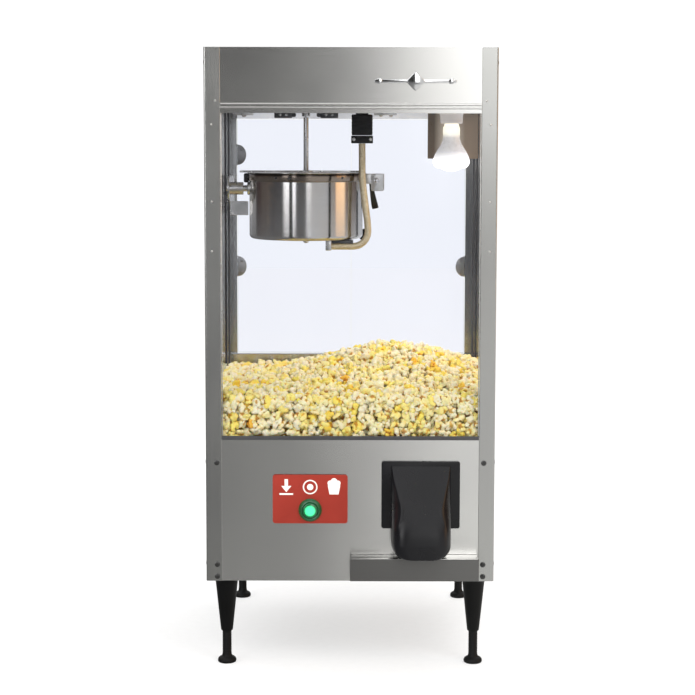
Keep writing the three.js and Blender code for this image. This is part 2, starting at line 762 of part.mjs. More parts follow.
function driveCoupling() {
  const head = rod(8.2, SHAFT_TOP + 1, 986, 20);
  const slot = block(-2.5, 2.5, -10, 10, SHAFT_TOP, SHAFT_TOP + 9);
  return head.subtract(slot).add(rod(5, 985, 1004, 20));
}

function agitatorMotor() {
  const foot = CEILING + SHEET + GAP;
  const gearcase = block(-35, 35, -32, 32, foot, 1026);
  const motor = rod(27, 1025, 1066);
  return gearcase.add(motor).subtract(rod(5.6, foot - 1, 1006, 20));
}

// Pieces about the kettle's own upright axis.
function kettleAssembly() {
  const group = at(new THREE.Group(), KETTLE.x, KETTLE.y, 0);
  const boxX = [-48 - KETTLE.x, -2 - KETTLE.x];
  const boxY = [46 - KETTLE.y, 78 - KETTLE.y];
  group.add(
    mesh('kettle_body', kettleBody(), steel()),
    mesh('kettle_terminal_box', block(...boxX, ...boxY, 721, KETTLE.foot - GAP), steel()),
    mesh('dump_handle', dumpHandle(), black()),
    mesh('lid_bar', lidBar(), steel()),
    mesh('lid_front', halfLid(-1), steel()),
    mesh('lid_rear', halfLid(1), steel()),
    mesh('agitator', agitator(), steel()),
    mesh('drive_coupling', driveCoupling(), steel()),
    mesh('agitator_motor', agitatorMotor(), castMotor()),
  );
  return group;
}

// ------------------------------------------------------------------ legs and switches

function leg(name, x, y) {
  const head = LEG_HEIGHT - GAP;
  const outside = [[0, head], [22, head], [22, head - 3], [20.6, head - 5], [10.2, 58.4]];
  const socket = [[8.6, 58.4], [8.6, 140], [0, 140]];
  const pad = [[0, 0], [15.5, 0], [16.5, 1.5], [16.5, 7], [13, 11]];
  const stem = [[7.9, 13], [7.9, 100], [0, 100]];
  const group = at(new THREE.Group(), x, y, 0);
  group.add(
    mesh(`leg_${name}`, turned([...outside, ...socket], 20), black()),
    mesh(`foot_${name}`, turned([...pad, ...stem], 20), rubber()),
  );
  return group;
}

function legs() {
  const [frontRow, rearRow] = [FRONT + LEG_INSET, BACK - LEG_INSET];
  return [
    leg('front_left', -LEG_X, frontRow),
    leg('front_right', LEG_X, frontRow),
    leg('rear_left', -LEG_X, rearRow),
    leg('rear_right', LEG_X, rearRow),
  ];
}

// A rocker is dished, so that one half stands out while the other is pressed in.
function rocker(name, x) {
  const section = [[-8, -11], [1, -13.5], [3.5, -13], [1.5, 0], [3.5, 13], [1, 13.5], [-8, 11]];
  const shape = new THREE.Shape(section.map(([out, height]) => new THREE.Vector2(out, height)));
  const piece = at(mesh(name, sideView(shape, -10, 10), black()), x, BACK - 2.5, ROCKER_Z);
  piece.rotation.x = -ROCKER_TILT;
  return piece;
}

// ------------------------------------------------------------------ the whole machine

const group = new THREE.Group();
group.add(
  ...posts(),
  lowerShell(),
  frontLowerPanel(),
  rearLowerPanel(),
  headerFascia(),
  headerWrap(),
  rearControlPanel(),
  ceilingPlate(),
  cordGland(),
  ...panes(),
  door('left', -1),
  door('right', 1),
  ...hinges(),
  hopperFloor(),
  augerTrough(),
  auger(),
  augerGearmotor(),
  popcornHeap(),
  dispensingFront(),
  ...lamp(),
  ...kettleSupply(),
  kettleBracket(),
  kettleAssembly(),
  ...legs(),
  rocker('agitator_rocker', ROCKER_X[0]),
  rocker('lamp_rocker', ROCKER_X[1]),
);

export default group;
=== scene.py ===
"""Looks of a counter-top popcorn dispenser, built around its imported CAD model.

Shapes are given in millimetres in the model's own frame, and turned into metres as each mesh is made.
"""
import math

import bmesh
import bpy
import numpy as np
from mathutils import Matrix, Vector

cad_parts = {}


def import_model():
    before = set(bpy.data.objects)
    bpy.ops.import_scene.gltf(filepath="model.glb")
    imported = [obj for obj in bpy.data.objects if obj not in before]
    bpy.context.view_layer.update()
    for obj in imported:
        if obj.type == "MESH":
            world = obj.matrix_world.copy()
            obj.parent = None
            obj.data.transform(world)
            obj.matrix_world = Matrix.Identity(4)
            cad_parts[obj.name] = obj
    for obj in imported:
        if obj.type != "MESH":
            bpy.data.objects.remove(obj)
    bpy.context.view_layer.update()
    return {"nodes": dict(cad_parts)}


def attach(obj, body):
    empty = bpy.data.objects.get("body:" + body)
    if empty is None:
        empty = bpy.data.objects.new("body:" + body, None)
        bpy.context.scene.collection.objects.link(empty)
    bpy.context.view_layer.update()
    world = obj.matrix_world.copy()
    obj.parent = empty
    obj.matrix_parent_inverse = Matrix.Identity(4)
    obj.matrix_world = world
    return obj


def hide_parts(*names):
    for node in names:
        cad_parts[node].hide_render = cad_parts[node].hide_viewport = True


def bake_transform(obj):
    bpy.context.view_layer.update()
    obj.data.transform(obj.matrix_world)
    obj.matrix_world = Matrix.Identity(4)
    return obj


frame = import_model()

# ---------------------------------------------------------------- driving sizes, in millimetres

MM = 0.001
FRONT = -229.0
BACK = 279.0
HALF = 254.0
TOP = 1090.0
HEADER_LIP = 977.0
CEILING = 990.0
SKIN_FACE = FRONT + 1.8
REAR_FACE = BACK - 1.8
OPENING = 225.5

KETTLE_X = -86.5
KETTLE_Y = 115.0
RIM_RADIUS = 111.5
PIVOT_Z = 836.0
LAMP_X = 185.8
PLUG_X = 20.5
PLUG_Y = 52.0
CHUTE_X = 124.0
CHUTE_HALF = 52.0
CHUTE_WALL = 2.5
CHUTE_FOOT = 229.0
CHUTE_TIP = 20.0
BUTTON_X = -70.5
BUTTON_Z = 282.0
DOOR_KNOB_X = 26.0
DOOR_KNOB_Z = 737.0
HINGE_LEVELS = {"upper": 898.0, "lower": 674.0}
ROCKER_X = {"agitator": 40.0, "lamp": 90.0}
ROCKER_Z = 1034.0
LEG_X = 220.0
LEG_Y = {"front": -202.0, "rear": 252.0}
SIDES = {"left": -1, "right": 1}

CONDUIT_RADIUS = 6.5
BRAID_STRANDS = 9
BRAID_LAY = 7.0
BRAID_WIRE = 0.75
CONDUIT_ROUTE = (
    (20.5, 922.7), (20.6, 910), (20.8, 893), (20.9, 874), (21.6, 855), (23.5, 835), (25.8, 816),
    (28.4, 796), (30.9, 776), (32, 757), (29.9, 746.3), (23.8, 737.2), (14.7, 731.1), (4, 729), (-1.7, 729),
)


def srgb(*channels):
    """A linear colour from 0 to 255 screen values."""
    def linear(value):
        share = value / 255
        return share / 12.92 if share <= 0.04045 else ((share + 0.055) / 1.055) ** 2.4
    return tuple(linear(c) for c in channels)


# ---------------------------------------------------------------- forms: (points, faces) in millimetres

def join(*forms):
    points = []
    faces = []
    for some_points, some_faces in forms:
        start = len(points)
        points.extend(tuple(p) for p in some_points)
        faces.extend(tuple(start + i for i in face) for face in some_faces)
    return points, faces


def moved(form, offset=(0, 0, 0), turn=None):
    turn = turn or Matrix.Identity(3)
    shift = Vector(offset)
    return [tuple(turn @ Vector(p) + shift) for p in form[0]], form[1]


def facing(*direction):
    """The turn that points a form's +Z along a direction."""
    return Vector((0, 0, 1)).rotation_difference(Vector(direction)).to_matrix()


def spin(degrees, axis="Z"):
    return Matrix.Rotation(math.radians(degrees), 3, axis)


def bevelled(form, radius, segments=3, limit=30):
    """The form with every edge sharper than the limit rounded."""
    bm = bmesh.new()
    corners = [bm.verts.new(p) for p in form[0]]
    for face in form[1]:
        bm.faces.new([corners[i] for i in face])
    bm.normal_update()
    shared = [e for e in bm.edges if len(e.link_faces) == 2]
    sharp = [e for e in shared if e.calc_face_angle(0) > math.radians(limit)]
    bmesh.ops.bevel(bm, geom=sharp, offset=radius, segments=segments, profile=0.5, affect="EDGES",
                    clamp_overlap=True)
    bm.verts.index_update()
    made = [tuple(v.co) for v in bm.verts], [tuple(v.index for v in f.verts) for f in bm.faces]
    bm.free()
    return made


def block(x0, x1, y0, y1, z0, z1, radius=0.0, segments=3):
    points = [(x, y, z) for x in (x0, x1) for y in (y0, y1) for z in (z0, z1)]
    faces = [(0, 1, 3, 2), (4, 6, 7, 5), (0, 4, 5, 1), (2, 3, 7, 6), (0, 2, 6, 4), (1, 5, 7, 3)]
    return bevelled((points, faces), radius, segments) if radius else (points, faces)


def prism(outline, low, high, radius=0.0, segments=2):
    """A plate over an anticlockwise outline, from low to high along Z."""
    count = len(outline)
    points = [(x, y, low) for x, y in outline] + [(x, y, high) for x, y in outline]
    faces = [tuple(reversed(range(count))), tuple(range(count, 2 * count))]
    faces += [(i, (i + 1) % count, count + (i + 1) % count, count + i) for i in range(count)]
    return bevelled((points, faces), radius, segments, 40) if radius else (points, faces)


def turned(profile, steps=64):
    """A form turned round Z from (radius, height) points. A radius of 0 closes it."""
    points = []
    rings = []
    for radius, height in profile:
        if radius < 1e-6:
            rings.append([len(points)])
            points.append((0, 0, height))
            continue
        rings.append(range(len(points), len(points) + steps))
        angles = [2 * math.pi * i / steps for i in range(steps)]
        points.extend((radius * math.cos(a), radius * math.sin(a), height) for a in angles)
    faces = []
    for low, high in zip(rings, rings[1:]):
        for i in range(steps):
            j = (i + 1) % steps
            corners = [low[i % len(low)], low[j % len(low)], high[j % len(high)], high[i % len(high)]]
            face = list(dict.fromkeys(corners))
            if len(face) > 2:
                faces.append(tuple(face))
    return points, faces


def arc(cx, cy, radius, start, end, steps=8):
    angles = [math.radians(start + (end - start) * i / steps) for i in range(steps + 1)]
    return [(cx + radius * math.cos(a), cy + radius * math.sin(a)) for a in angles]


def rounded(x0, x1, y0, y1, radius, steps=6):
    """A rectangle's outline with round corners, anticlockwise."""
    left, right = x0 + radius, x1 - radius
    low, high = y0 + radius, y1 - radius
    corners = ((right, low, -90), (right, high, 0), (left, high, 90), (left, low, 180))
    return [p for x, y, start in corners for p in arc(x, y, radius, start, start + 90, steps)]


def upright(form, y):
    """A plate drawn in X and Z that rises towards -Y from the plane at y."""
    return moved(form, (0, y, 0), Matrix(((1, 0, 0), (0, 0, -1), (0, 1, 0))))


def rearward(form, y):
    """A plate drawn in X and Z that rises towards +Y from the plane at y."""
    return moved(form, (0, y, 0), Matrix(((1, 0, 0), (0, 0, 1), (0, 1, 0))))


def smooth_path(points, per_span):
    """Catmull-Rom points through the given ones."""
    ends = [2 * points[0] - points[1], *points, 2 * points[-1] - points[-2]]
    path = []
    for i in range(len(points) - 1):
        a, b, c, d = ends[i:i + 4]
        for k in range(per_span):
            t = k / per_span
            path.append(0.5 * (2 * b + (c - a) * t + (2 * a - 5 * b + 4 * c - d) * t ** 2
                               + (3 * b - a - 3 * c + d) * t ** 3))
    return path + [points[-1]]


def skin(rings, steps, first=0, closed=True):
    """Faces between rings of as many points each, from the point numbered first."""
    faces = []
    for low in range(first, first + (rings - 1) * steps, steps):
        for k in range(steps if closed else steps - 1):
            m = (k + 1) % steps
            faces.append((low + k, low + m, low + steps + m, low + steps + k))
    return faces


def capped(points, steps):
    """A closed form from the points of its rings, with a face over each end."""
    count = len(points)
    ends = [tuple(reversed(range(steps))), tuple(range(count - steps, count))]
    return points, ends + skin(count // steps, steps)


def tube(path, section, steps=24):
    """A tube along a path. section(angle, distance) gives its radius."""
    last = len(path) - 1
    forward = [(path[min(i + 1, last)] - path[max(i - 1, 0)]).normalized() for i in range(last + 1)]
    side = forward[0].orthogonal().normalized()
    points = []
    travelled = 0.0
    for i, centre in enumerate(path):
        if i:
            side = (forward[i - 1].rotation_difference(forward[i]) @ side).normalized()
            travelled += (centre - path[i - 1]).length
        other = forward[i].cross(side)
        for k in range(steps):
            angle = 2 * math.pi * k / steps
            reach = section(angle, travelled)
            points.append(centre + reach * (math.cos(angle) * side + math.sin(angle) * other))
    return capped(points, steps)


def even(radius):
    """The section of a plain round tube."""
    return lambda angle, distance: radius


def screw_head(radius, height, recess=0.55):
    """A domed head with a cross recess, standing on Z = 0."""
    steps = 32
    shares = (0.14, 0.3, 0.5, 0.6, 0.8, 0.94, 1.0)
    points = [(0, 0, height * (1 - recess))]
    for share in shares:
        for k in range(steps):
            angle = 2 * math.pi * k / steps
            arm = min(k % 8, 8 - k % 8) <= 1
            sunk = share < 0.2 or (arm and share < 0.55)
            level = height * (1 - 0.5 * share ** 2.5) - (height * recess if sunk else 0)
            points.append((radius * share * math.cos(angle), radius * share * math.sin(angle), level))
    points.extend((p[0], p[1], 0) for p in points[-steps:])
    faces = [(0, 1 + k, 1 + (k + 1) % steps) for k in range(steps)]
    faces += [(a, d, c, b) for a, b, c, d in skin(len(shares) + 1, steps, 1)]
    return points, faces


def screws(places, direction, radius, height):
    """Screw heads that face a direction, each with its recess turned another way."""
    head = screw_head(radius, height)
    heads = [moved(head, turn=spin(17 + 37 * n)) for n in range(len(places))]
    return join(*[moved(form, place, facing(*direction)) for form, place in zip(heads, places)])


def make(name, form, material, sharp=35, at=(0, 0, 0)):
    """An object from a form, with smooth shading between its sharp edges."""
    data = bpy.data.meshes.new(name)
    data.from_pydata([tuple(c * MM for c in p) for p in form[0]], [], form[1])
    data.polygons.foreach_set("use_smooth", [True] * len(data.polygons))
    data.set_sharp_from_angle(angle=math.radians(sharp))
    data.materials.append(material)
    thing = bpy.data.objects.new(name, data)
    thing.location = Vector(at) * MM
    bpy.context.scene.collection.objects.link(thing)
    return thing


def piece(name, form, finish, body="root", stands_for=(), sharp=35, at=(0, 0, 0)):
    """A piece of the object. finish is (material, slot of the record); only its material is used here."""
    thing = make(name, form, finish[0], sharp, at)
    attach(thing, body)
    if stands_for:
        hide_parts(*stands_for)
    return thing


def dress(finish, *nodes, bevel=0.5):
    """Gives CAD nodes a finish, rounded edges and smooth shading."""
    for name in nodes:
        thing = frame["nodes"][name]
        thing.data.materials.clear()
        thing.data.materials.append(finish[0])
        normals = thing.data.attributes.get("custom_normal")
        if normals:
            thing.data.attributes.remove(normals)
        thing.data.polygons.foreach_set("use_smooth", [True] * len(thing.data.polygons))
        weld = thing.modifiers.new("weld", "WELD")
        weld.merge_threshold = 0.02 * MM
        flat = thing.modifiers.new("flat", "DECIMATE")
        flat.decimate_type = "DISSOLVE"
        flat.angle_limit = math.radians(1)
        if bevel:
            edge = thing.modifiers.new("edge", "BEVEL")
            edge.width = bevel * MM
            edge.segments = 2
            edge.limit_method = "ANGLE"
            edge.angle_limit = math.radians(40)
            edge.harden_normals = False
        weighted = thing.modifiers.new("weighted", "WEIGHTED_NORMAL")
        weighted.weight = 80


# ---------------------------------------------------------------- materials

class Nodes:
    """Adds linked nodes to a tree."""

    def __init__(self, tree, space="Object"):
        self.tree = tree
        self.place = self.node("ShaderNodeTexCoord").outputs[space]

    def node(self, kind, **settings):
        made = self.tree.nodes.new(kind)
        for key, value in settings.items():
            setattr(made, key, value)
        return made

    def feed(self, socket, value):
        if isinstance(value, bpy.types.NodeSocket):
            self.tree.links.new(value, socket)
        else:
            socket.default_value = value

    def axis(self, name, vector=None):
        """One axis of a vector, or of the place on the piece."""
        made = self.node("ShaderNodeSeparateXYZ")
        self.feed(made.inputs["Vector"], self.place if vector is None else vector)
        return made.outputs[name]

    def math(self, operation, *values):
        made = self.node("ShaderNodeMath", operation=operation)
        for socket, value in zip(made.inputs, values):
            self.feed(socket, value)
        return made.outputs["Value"]

    def ramp(self, fac, *stops):
        """Colours or grey levels at shares from 0 to 1."""
        made = self.node("ShaderNodeValToRGB")
        self.feed(made.inputs["Fac"], fac)
        elements = made.color_ramp.elements
        while len(elements) < len(stops):
            elements.new(0.5)
        for element, (position, level) in zip(elements, stops):
            element.position = position
            element.color = (*level, 1) if isinstance(level, tuple) else (level, level, level, 1)
        return made.outputs["Color"]

    def spread(self, fac, low, high, start=0.3, end=0.7):
        made = self.node("ShaderNodeMapRange")
        self.feed(made.inputs["Value"], fac)
        for key, value in (("From Min", start), ("From Max", end), ("To Min", low), ("To Max", high)):
            made.inputs[key].default_value = value
        return made.outputs["Result"]

    def mix(self, fac, first, second, blend="MIX"):
        made = self.node("ShaderNodeMix", data_type="RGBA", blend_type=blend)
        self.feed(made.inputs["Factor"], fac)
        for key, value in (("A", first), ("B", second)):
            socket = next(s for s in made.inputs if s.name == key and s.type == "RGBA")
            self.feed(socket, value if isinstance(value, bpy.types.NodeSocket) else (*value, 1))
        return next(s for s in made.outputs if s.type == "RGBA")


class Finish(Nodes):
    """A node material whose colour, roughness and relief come from noise over the piece."""

    def __init__(self, name):
        self.material = bpy.data.materials.new(name)
        self.material.use_nodes = True
        super().__init__(self.material.node_tree)
        self.shader = self.tree.nodes["Principled BSDF"]
        self.normal = None

    def noise(self, scale, stretch=(1, 1, 1), detail=3.0, rough=0.55):
        mapping = self.node("ShaderNodeMapping")
        self.feed(mapping.inputs["Vector"], self.place)
        mapping.inputs["Scale"].default_value = [scale * s for s in stretch]
        made = self.node("ShaderNodeTexNoise")
        self.feed(made.inputs["Vector"], mapping.outputs["Vector"])
        made.inputs["Scale"].default_value = 1.0
        made.inputs["Detail"].default_value = detail
        made.inputs["Roughness"].default_value = rough
        return made.outputs["Fac"]

    def cells(self, scale):
        made = self.node("ShaderNodeTexVoronoi")
        self.feed(made.inputs["Vector"], self.place)
        made.inputs["Scale"].default_value = scale
        return made.outputs["Distance"]

    def bump(self, height, depth):
        """Relief of a depth in millimetres."""
        made = self.node("ShaderNodeBump")
        made.inputs["Distance"].default_value = depth * MM
        made.inputs["Strength"].default_value = 1.0
        self.feed(made.inputs["Height"], height)
        if self.normal:
            self.feed(made.inputs["Normal"], self.normal)
        self.normal = made.outputs["Normal"]
        self.feed(self.shader.inputs["Normal"], self.normal)

    def set(self, **values):
        for key, value in values.items():
            self.feed(self.shader.inputs[key.replace("_", " ")], value)
        return self

    def cover(self, share, first, second):
        """Shows a mix of two shaders instead of one."""
        mixed = self.node("ShaderNodeMixShader")
        for socket, value in zip(mixed.inputs, (share, first, second)):
            self.feed(socket, value)
        self.feed(self.tree.nodes["Material Output"].inputs["Surface"], mixed.outputs["Shader"])

    def tangent(self, turn, amount):
        """Stretches reflections. A turn of 0 is along a level grain, and 0.25 across it."""
        made = self.node("ShaderNodeTangent", direction_type="RADIAL", axis="Z")
        self.feed(self.shader.inputs["Tangent"], made.outputs["Tangent"])
        self.set(Anisotropic=amount, Anisotropic_Rotation=turn)


def tones(colour, *shares):
    return [tuple(min(1, c * s) for c in colour) for s in shares]


def brushed(name, colour, stretch, turn, rough=(0.19, 0.22), amount=0.75, grain=0.0012):
    """Steel with a fine grain, soft smudges and a little variation from sheet to sheet."""
    f = Finish(name)
    fine = f.noise(1, stretch, 3)
    broad = f.noise(4, detail=2)
    dark, light = tones(colour, 0.97, 1.025)
    base = f.ramp(fine, (0.32, dark), (0.68, light))
    smudge = f.ramp(broad, (0.35, (0.95, 0.95, 0.96)), (0.65, 1))
    f.set(Base_Color=f.mix(1.0, base, smudge, "MULTIPLY"), Metallic=1.0)
    streak = f.spread(fine, *rough)
    cloud = f.spread(broad, -0.015, 0.02)
    f.set(Roughness=f.math("ADD", streak, cloud))
    f.bump(fine, grain)
    f.tangent(turn, amount)
    return f.material


def plain_metal(name, colour, rough, grain=400.0, depth=0.02):
    f = Finish(name)
    fine = f.noise(grain, detail=3)
    broad = f.noise(18, detail=2)
    dark, light = tones(colour, 0.86, 1.08)
    mottle = f.math("MULTIPLY", fine, f.math("ADD", broad, 0.5))
    f.set(Base_Color=f.ramp(mottle, (0.3, dark), (0.7, light)))
    f.set(Metallic=1.0, Roughness=f.spread(broad, *rough))
    f.bump(fine, depth)
    return f.material


def shield_steel():
    """Lamp shield steel: painted shade on the left and painted lamp light beside the lamp, as a colour
    gradient across X.
    """
    f = Finish("lamp_shield_steel")
    fine = f.noise(400, detail=3)
    broad = f.noise(18, detail=2)
    # Painted light across X: shade on the left, lamp light in the middle, a warmer painted glow at the right
    # end.
    across = f.spread(f.axis("X"), 0.0, 1.0, 0.14, 0.24)
    dark, painted_lamp_light, warm = srgb(112, 98, 84), srgb(220, 208, 192), srgb(176, 156, 136)
    base = f.ramp(across, (0.2, dark), (0.36, painted_lamp_light), (0.68, painted_lamp_light), (0.8, warm))
    mottle = f.ramp(f.math("MULTIPLY", fine, f.math("ADD", broad, 0.5)), (0.3, 0.86), (0.7, 1))
    f.set(Base_Color=f.mix(1.0, base, mottle, "MULTIPLY"), Metallic=1.0)
    f.set(Roughness=f.spread(broad, 0.34, 0.46))
    f.bump(fine, 0.02)
    return f.material


def spun_steel():
    """Spun kettle steel: level turning marks, faint heat tint low down and water spots, with painted shade on
    the rim band.
    """
    f = Finish("spun_kettle_steel")
    marks = f.noise(1, (4, 4, 1500), 3)
    broad = f.noise(9, (1, 1, 0.6), 3)
    dark, light = tones((0.57, 0.56, 0.54), 0.95, 1.03)
    base = f.ramp(marks, (0.3, dark), (0.7, light))
    heat = f.ramp(broad, (0.38, 1), (0.62, (1.0, 0.93, 0.84)))
    # Painted shade: the rim band is darkened, and a near-black painted shadow runs just under the lids.
    level = f.spread(f.axis("Z"), 0.0, 1.0, 0.845, 0.870)
    band, painted_lid_shadow = (0.5, 0.43, 0.37), (0.12, 0.1, 0.09)
    rim = f.ramp(level, (0.215, 1), (0.235, band), (0.66, band), (0.7, painted_lid_shadow), (0.82, painted_lid_shadow), (0.84, 1))
    f.set(Base_Color=f.mix(1.0, f.mix(0.8, base, heat, "MULTIPLY"), rim, "MULTIPLY"), Metallic=1.0)
    f.set(Roughness=f.spread(marks, 0.14, 0.18))
    f.bump(marks, 0.002)
    f.tangent(0.25, 0.85)
    return f.material


def moulded(name, colour, rough, grain=1600.0, depth=0.03, coat=0.0, shine=0.25, lit=0.0,
            shades=(0.8, 1.25), patches=14):
    """Plastic, paint or film with a fine texture. lit is how strongly it glows, as painted light."""
    f = Finish(name)
    fine = f.noise(grain, detail=2)
    broad = f.noise(patches, detail=3)
    dark, light = tones(colour, *shades)
    f.set(Base_Color=f.ramp(broad, (0.3, dark), (0.7, light)), Roughness=f.spread(broad, *rough))
    f.set(Coat_Weight=coat, Coat_Roughness=0.25, Specular_IOR_Level=shine)
    f.set(Emission_Color=(*colour, 1), Emission_Strength=lit)
    f.bump(fine, depth)
    return f.material


def clear_pane(name, through, rough, low=1.0, edge=(1, 1, 1)):
    """Clear sheet with a weak mirror over it. It passes less light at a low angle, which on the side panes is
    mostly a painted dark reflection, and through its edges.
    """
    f = Finish(name)
    haze = f.noise(6, (1, 1, 0.3), 3)
    clear = f.node("ShaderNodeBsdfTransparent")
    slant = f.node("ShaderNodeLayerWeight").outputs["Facing"]
    # Darker at a low angle: a little real loss in the sheet, and where low is small a painted dark
    # reflection.
    painted_grazing_dark = f.ramp(f.math("POWER", slant, 8.0), (0.0, 1), (0.5, (low, low * 0.96, low * 0.92)))
    tint = f.ramp(haze, (0.3, tones(through, 0.996)[0]), (0.7, through))
    facing_y = f.axis("Y", f.node("ShaderNodeTexCoord").outputs["Normal"])
    rim = f.ramp(f.math("ABSOLUTE", facing_y), (0.35, edge), (0.6, 1))
    f.feed(clear.inputs["Color"], f.mix(1.0, f.mix(1.0, tint, painted_grazing_dark, "MULTIPLY"), rim, "MULTIPLY"))
    gloss = f.node("ShaderNodeBsdfGlossy")
    gloss.inputs["Color"].default_value = (1, 1, 1, 1)
    f.feed(gloss.inputs["Roughness"], f.spread(haze, rough, rough * 2.5))
    fresnel = f.node("ShaderNodeFresnel")
    fresnel.inputs["IOR"].default_value = 1.28
    outside = f.math("SUBTRACT", 1.0, f.node("ShaderNodeNewGeometry").outputs["Backfacing"])
    share = f.math("MULTIPLY", fresnel.outputs["Fac"], outside)
    f.cover(share, clear.outputs["BSDF"], gloss.outputs["BSDF"])
    f.tree.nodes.remove(f.shader)
    return f.material


def braid_metal():
    f = Finish("brass_braid")
    strands = f.noise(1, (1500, 1500, 700), 3)
    broad = f.noise(60, detail=2)
    shadow, brass, shine = srgb(140, 122, 92), srgb(212, 197, 164), srgb(246, 240, 220)
    base = f.ramp(strands, (0.3, shadow), (0.52, brass), (0.74, shine))
    worn = f.ramp(broad, (0.35, (0.86, 0.84, 0.8)), (0.65, 1))
    f.set(Base_Color=f.mix(1.0, base, worn, "MULTIPLY"), Metallic=0.75, Roughness=f.spread(strands, 0.3, 0.5))
    f.bump(strands, 0.12)
    return f.material


def lamp_glass():
    """Frosted lamp glass lit from inside: brightest at the face, yellow round the collar."""
    f = Finish("lit_lamp_glass")
    level = f.spread(f.axis("Z"), 0.0, 1.0, 0.872, 0.982)
    haze = f.noise(120, detail=3)
    tint = f.ramp(level, (0.0, (1, 0.97, 0.93)), (0.28, (1, 0.97, 0.95)), (0.45, (1, 0.95, 0.92)),
                  (0.66, (1, 0.92, 0.62)), (0.8, (1, 0.93, 0.66)))
    glow = f.ramp(level, (0.0, 1), (0.15, 0.8), (0.23, 0.28),
                  (0.34, 0.07), (0.56, 0.05), (0.66, 0.32),
                  (0.9, 0.32))
    f.set(Base_Color=f.ramp(haze, (0.3, (0.8, 0.79, 0.78)), (0.7, (0.86, 0.85, 0.84))))
    f.set(Roughness=f.spread(haze, 0.22, 0.34), Coat_Weight=0.4, Emission_Color=tint)
    f.set(Emission_Strength=f.math("MULTIPLY", f.math("MULTIPLY", glow, 2.6), f.spread(haze, 0.97, 1.03)))
    return f.material


def lens(name, inner, outer, radius, strength):
    """Translucent lens lit from behind: inner colour in the middle, outer at the radius in millimetres."""
    f = Finish(name)
    shifted = f.node("ShaderNodeVectorMath", operation="SUBTRACT")
    f.feed(shifted.inputs[0], f.place)
    shifted.inputs[1].default_value = (BUTTON_X * MM, 0, BUTTON_Z * MM)
    across = f.math("POWER", f.axis("X", shifted.outputs["Vector"]), 2.0)
    along = f.math("POWER", f.axis("Z", shifted.outputs["Vector"]), 2.0)
    away = f.math("DIVIDE", f.math("SQRT", f.math("ADD", across, along)), radius * MM)
    speck = f.noise(700, detail=2)
    reach = f.math("ADD", away, f.spread(speck, -0.03, 0.03))
    colour = f.ramp(reach, (0.0, inner), (0.62, inner), (0.86, outer), (1.0, outer))
    f.set(Base_Color=colour, Roughness=f.spread(speck, 0.12, 0.2), Coat_Weight=0.6, Emission_Color=colour)
    f.set(Emission_Strength=strength)
    return f.material


def popped_corn():
    """Popped corn: cream to butter yellow from kernel to kernel, with painted shade darkening the folds
    between lobes.
    """
    f = Finish("popped_corn")
    tint = f.node("ShaderNodeAttribute", attribute_name="tint").outputs["Fac"]
    fold = f.node("ShaderNodeAttribute", attribute_name="fold").outputs["Fac"]
    flesh = f.ramp(tint, (0.0, srgb(240, 236, 222)), (0.28, srgb(243, 236, 206)), (0.5, srgb(244, 234, 168)),
                   (0.72, srgb(244, 226, 110)), (0.88, srgb(242, 196, 76)), (1.0, srgb(226, 142, 60)))
    blotch = f.noise(95, detail=3)
    butter = f.ramp(blotch, (0.45, 1), (0.75, srgb(253, 234, 150)))
    buttered = f.mix(0.75, flesh, butter, "MULTIPLY")
    # Painted shade: kernels turn darker and browner in the folds between their lobes.
    fold_shade = f.ramp(f.math("ADD", fold, f.spread(blotch, -0.1, 0.1)),
                   (0.0, srgb(184, 136, 78)), (0.12, srgb(232, 196, 132)), (0.3, srgb(254, 244, 214)),
                   (0.45, 1))
    depth = f.spread(f.axis("Y"), 0.0, 1.0, -0.25, 0.26)
    warm = f.ramp(depth, (0.0, (0.87, 0.85, 0.72)), (0.6, (0.9, 0.87, 0.75)), (0.95, (1, 0.94, 0.81)))
    kernel = f.mix(1.0, f.mix(1.0, buttered, fold_shade, "MULTIPLY"), warm, "MULTIPLY")
    f.set(Base_Color=kernel, Roughness=f.spread(blotch, 0.5, 0.72))
    f.set(Subsurface_Weight=0.15, Subsurface_Scale=0.005, Specular_IOR_Level=0.3)
    f.bump(f.noise(520, detail=4, rough=0.65), 0.7)
    f.bump(f.cells(330), 0.35)
    return f.material


def film(name, colour):
    return moulded(name, colour, (0.42, 0.52), 900, 0.01, shine=0.2, shades=(0.93, 1.06), patches=20)


STEEL = (0.62, 0.615, 0.60)
LEVEL_GRAIN = (14, 14, 1500)
UPRIGHT_GRAIN = (1500, 1500, 14)

PANEL = (brushed("brushed_panel_steel", STEEL, LEVEL_GRAIN, 0.25), "panel_steel")
# Shelf steel: the panel steel darkened to near black, painted shade on the shelf's front.
SHELF_PAINTED_SHADE = (brushed("shelf_steel_painted_shade", (0.145, 0.143, 0.139), LEVEL_GRAIN, 0.25, (0.34, 0.42)), "panel_steel")
POST = (brushed("brushed_post_steel", (0.46, 0.46, 0.447), UPRIGHT_GRAIN, 0.0, (0.2, 0.23), 0.35),
        "post_steel")
INNER = (brushed("mill_inner_steel", (0.58, 0.57, 0.55), (30, 30, 30), 0.0, (0.3, 0.42), 0.0), "inner_steel")
KETTLE = (spun_steel(), "kettle_steel")
FITTING = (plain_metal("satin_fitting_steel", (0.60, 0.59, 0.57), (0.2, 0.34)), "fitting_steel")
DARK_STEEL = (plain_metal("black_zinc_steel", (0.10, 0.10, 0.10), (0.3, 0.45)), "fitting_steel")
SHIELD = (shield_steel(), "lamp_shield_metal")
MOTOR = (plain_metal("cast_motor_metal", (0.42, 0.42, 0.43), (0.4, 0.55), 260, 0.08), "motor_metal")
HINGE = (plain_metal("hinge_steel", (0.34, 0.34, 0.34), (0.34, 0.46)), "hinge_chrome")
CHROME = (plain_metal("hinge_chrome", (0.72, 0.72, 0.73), (0.08, 0.16), 600, 0.004), "hinge_chrome")
PALE_BLUE = (0.957, 0.964, 0.984)
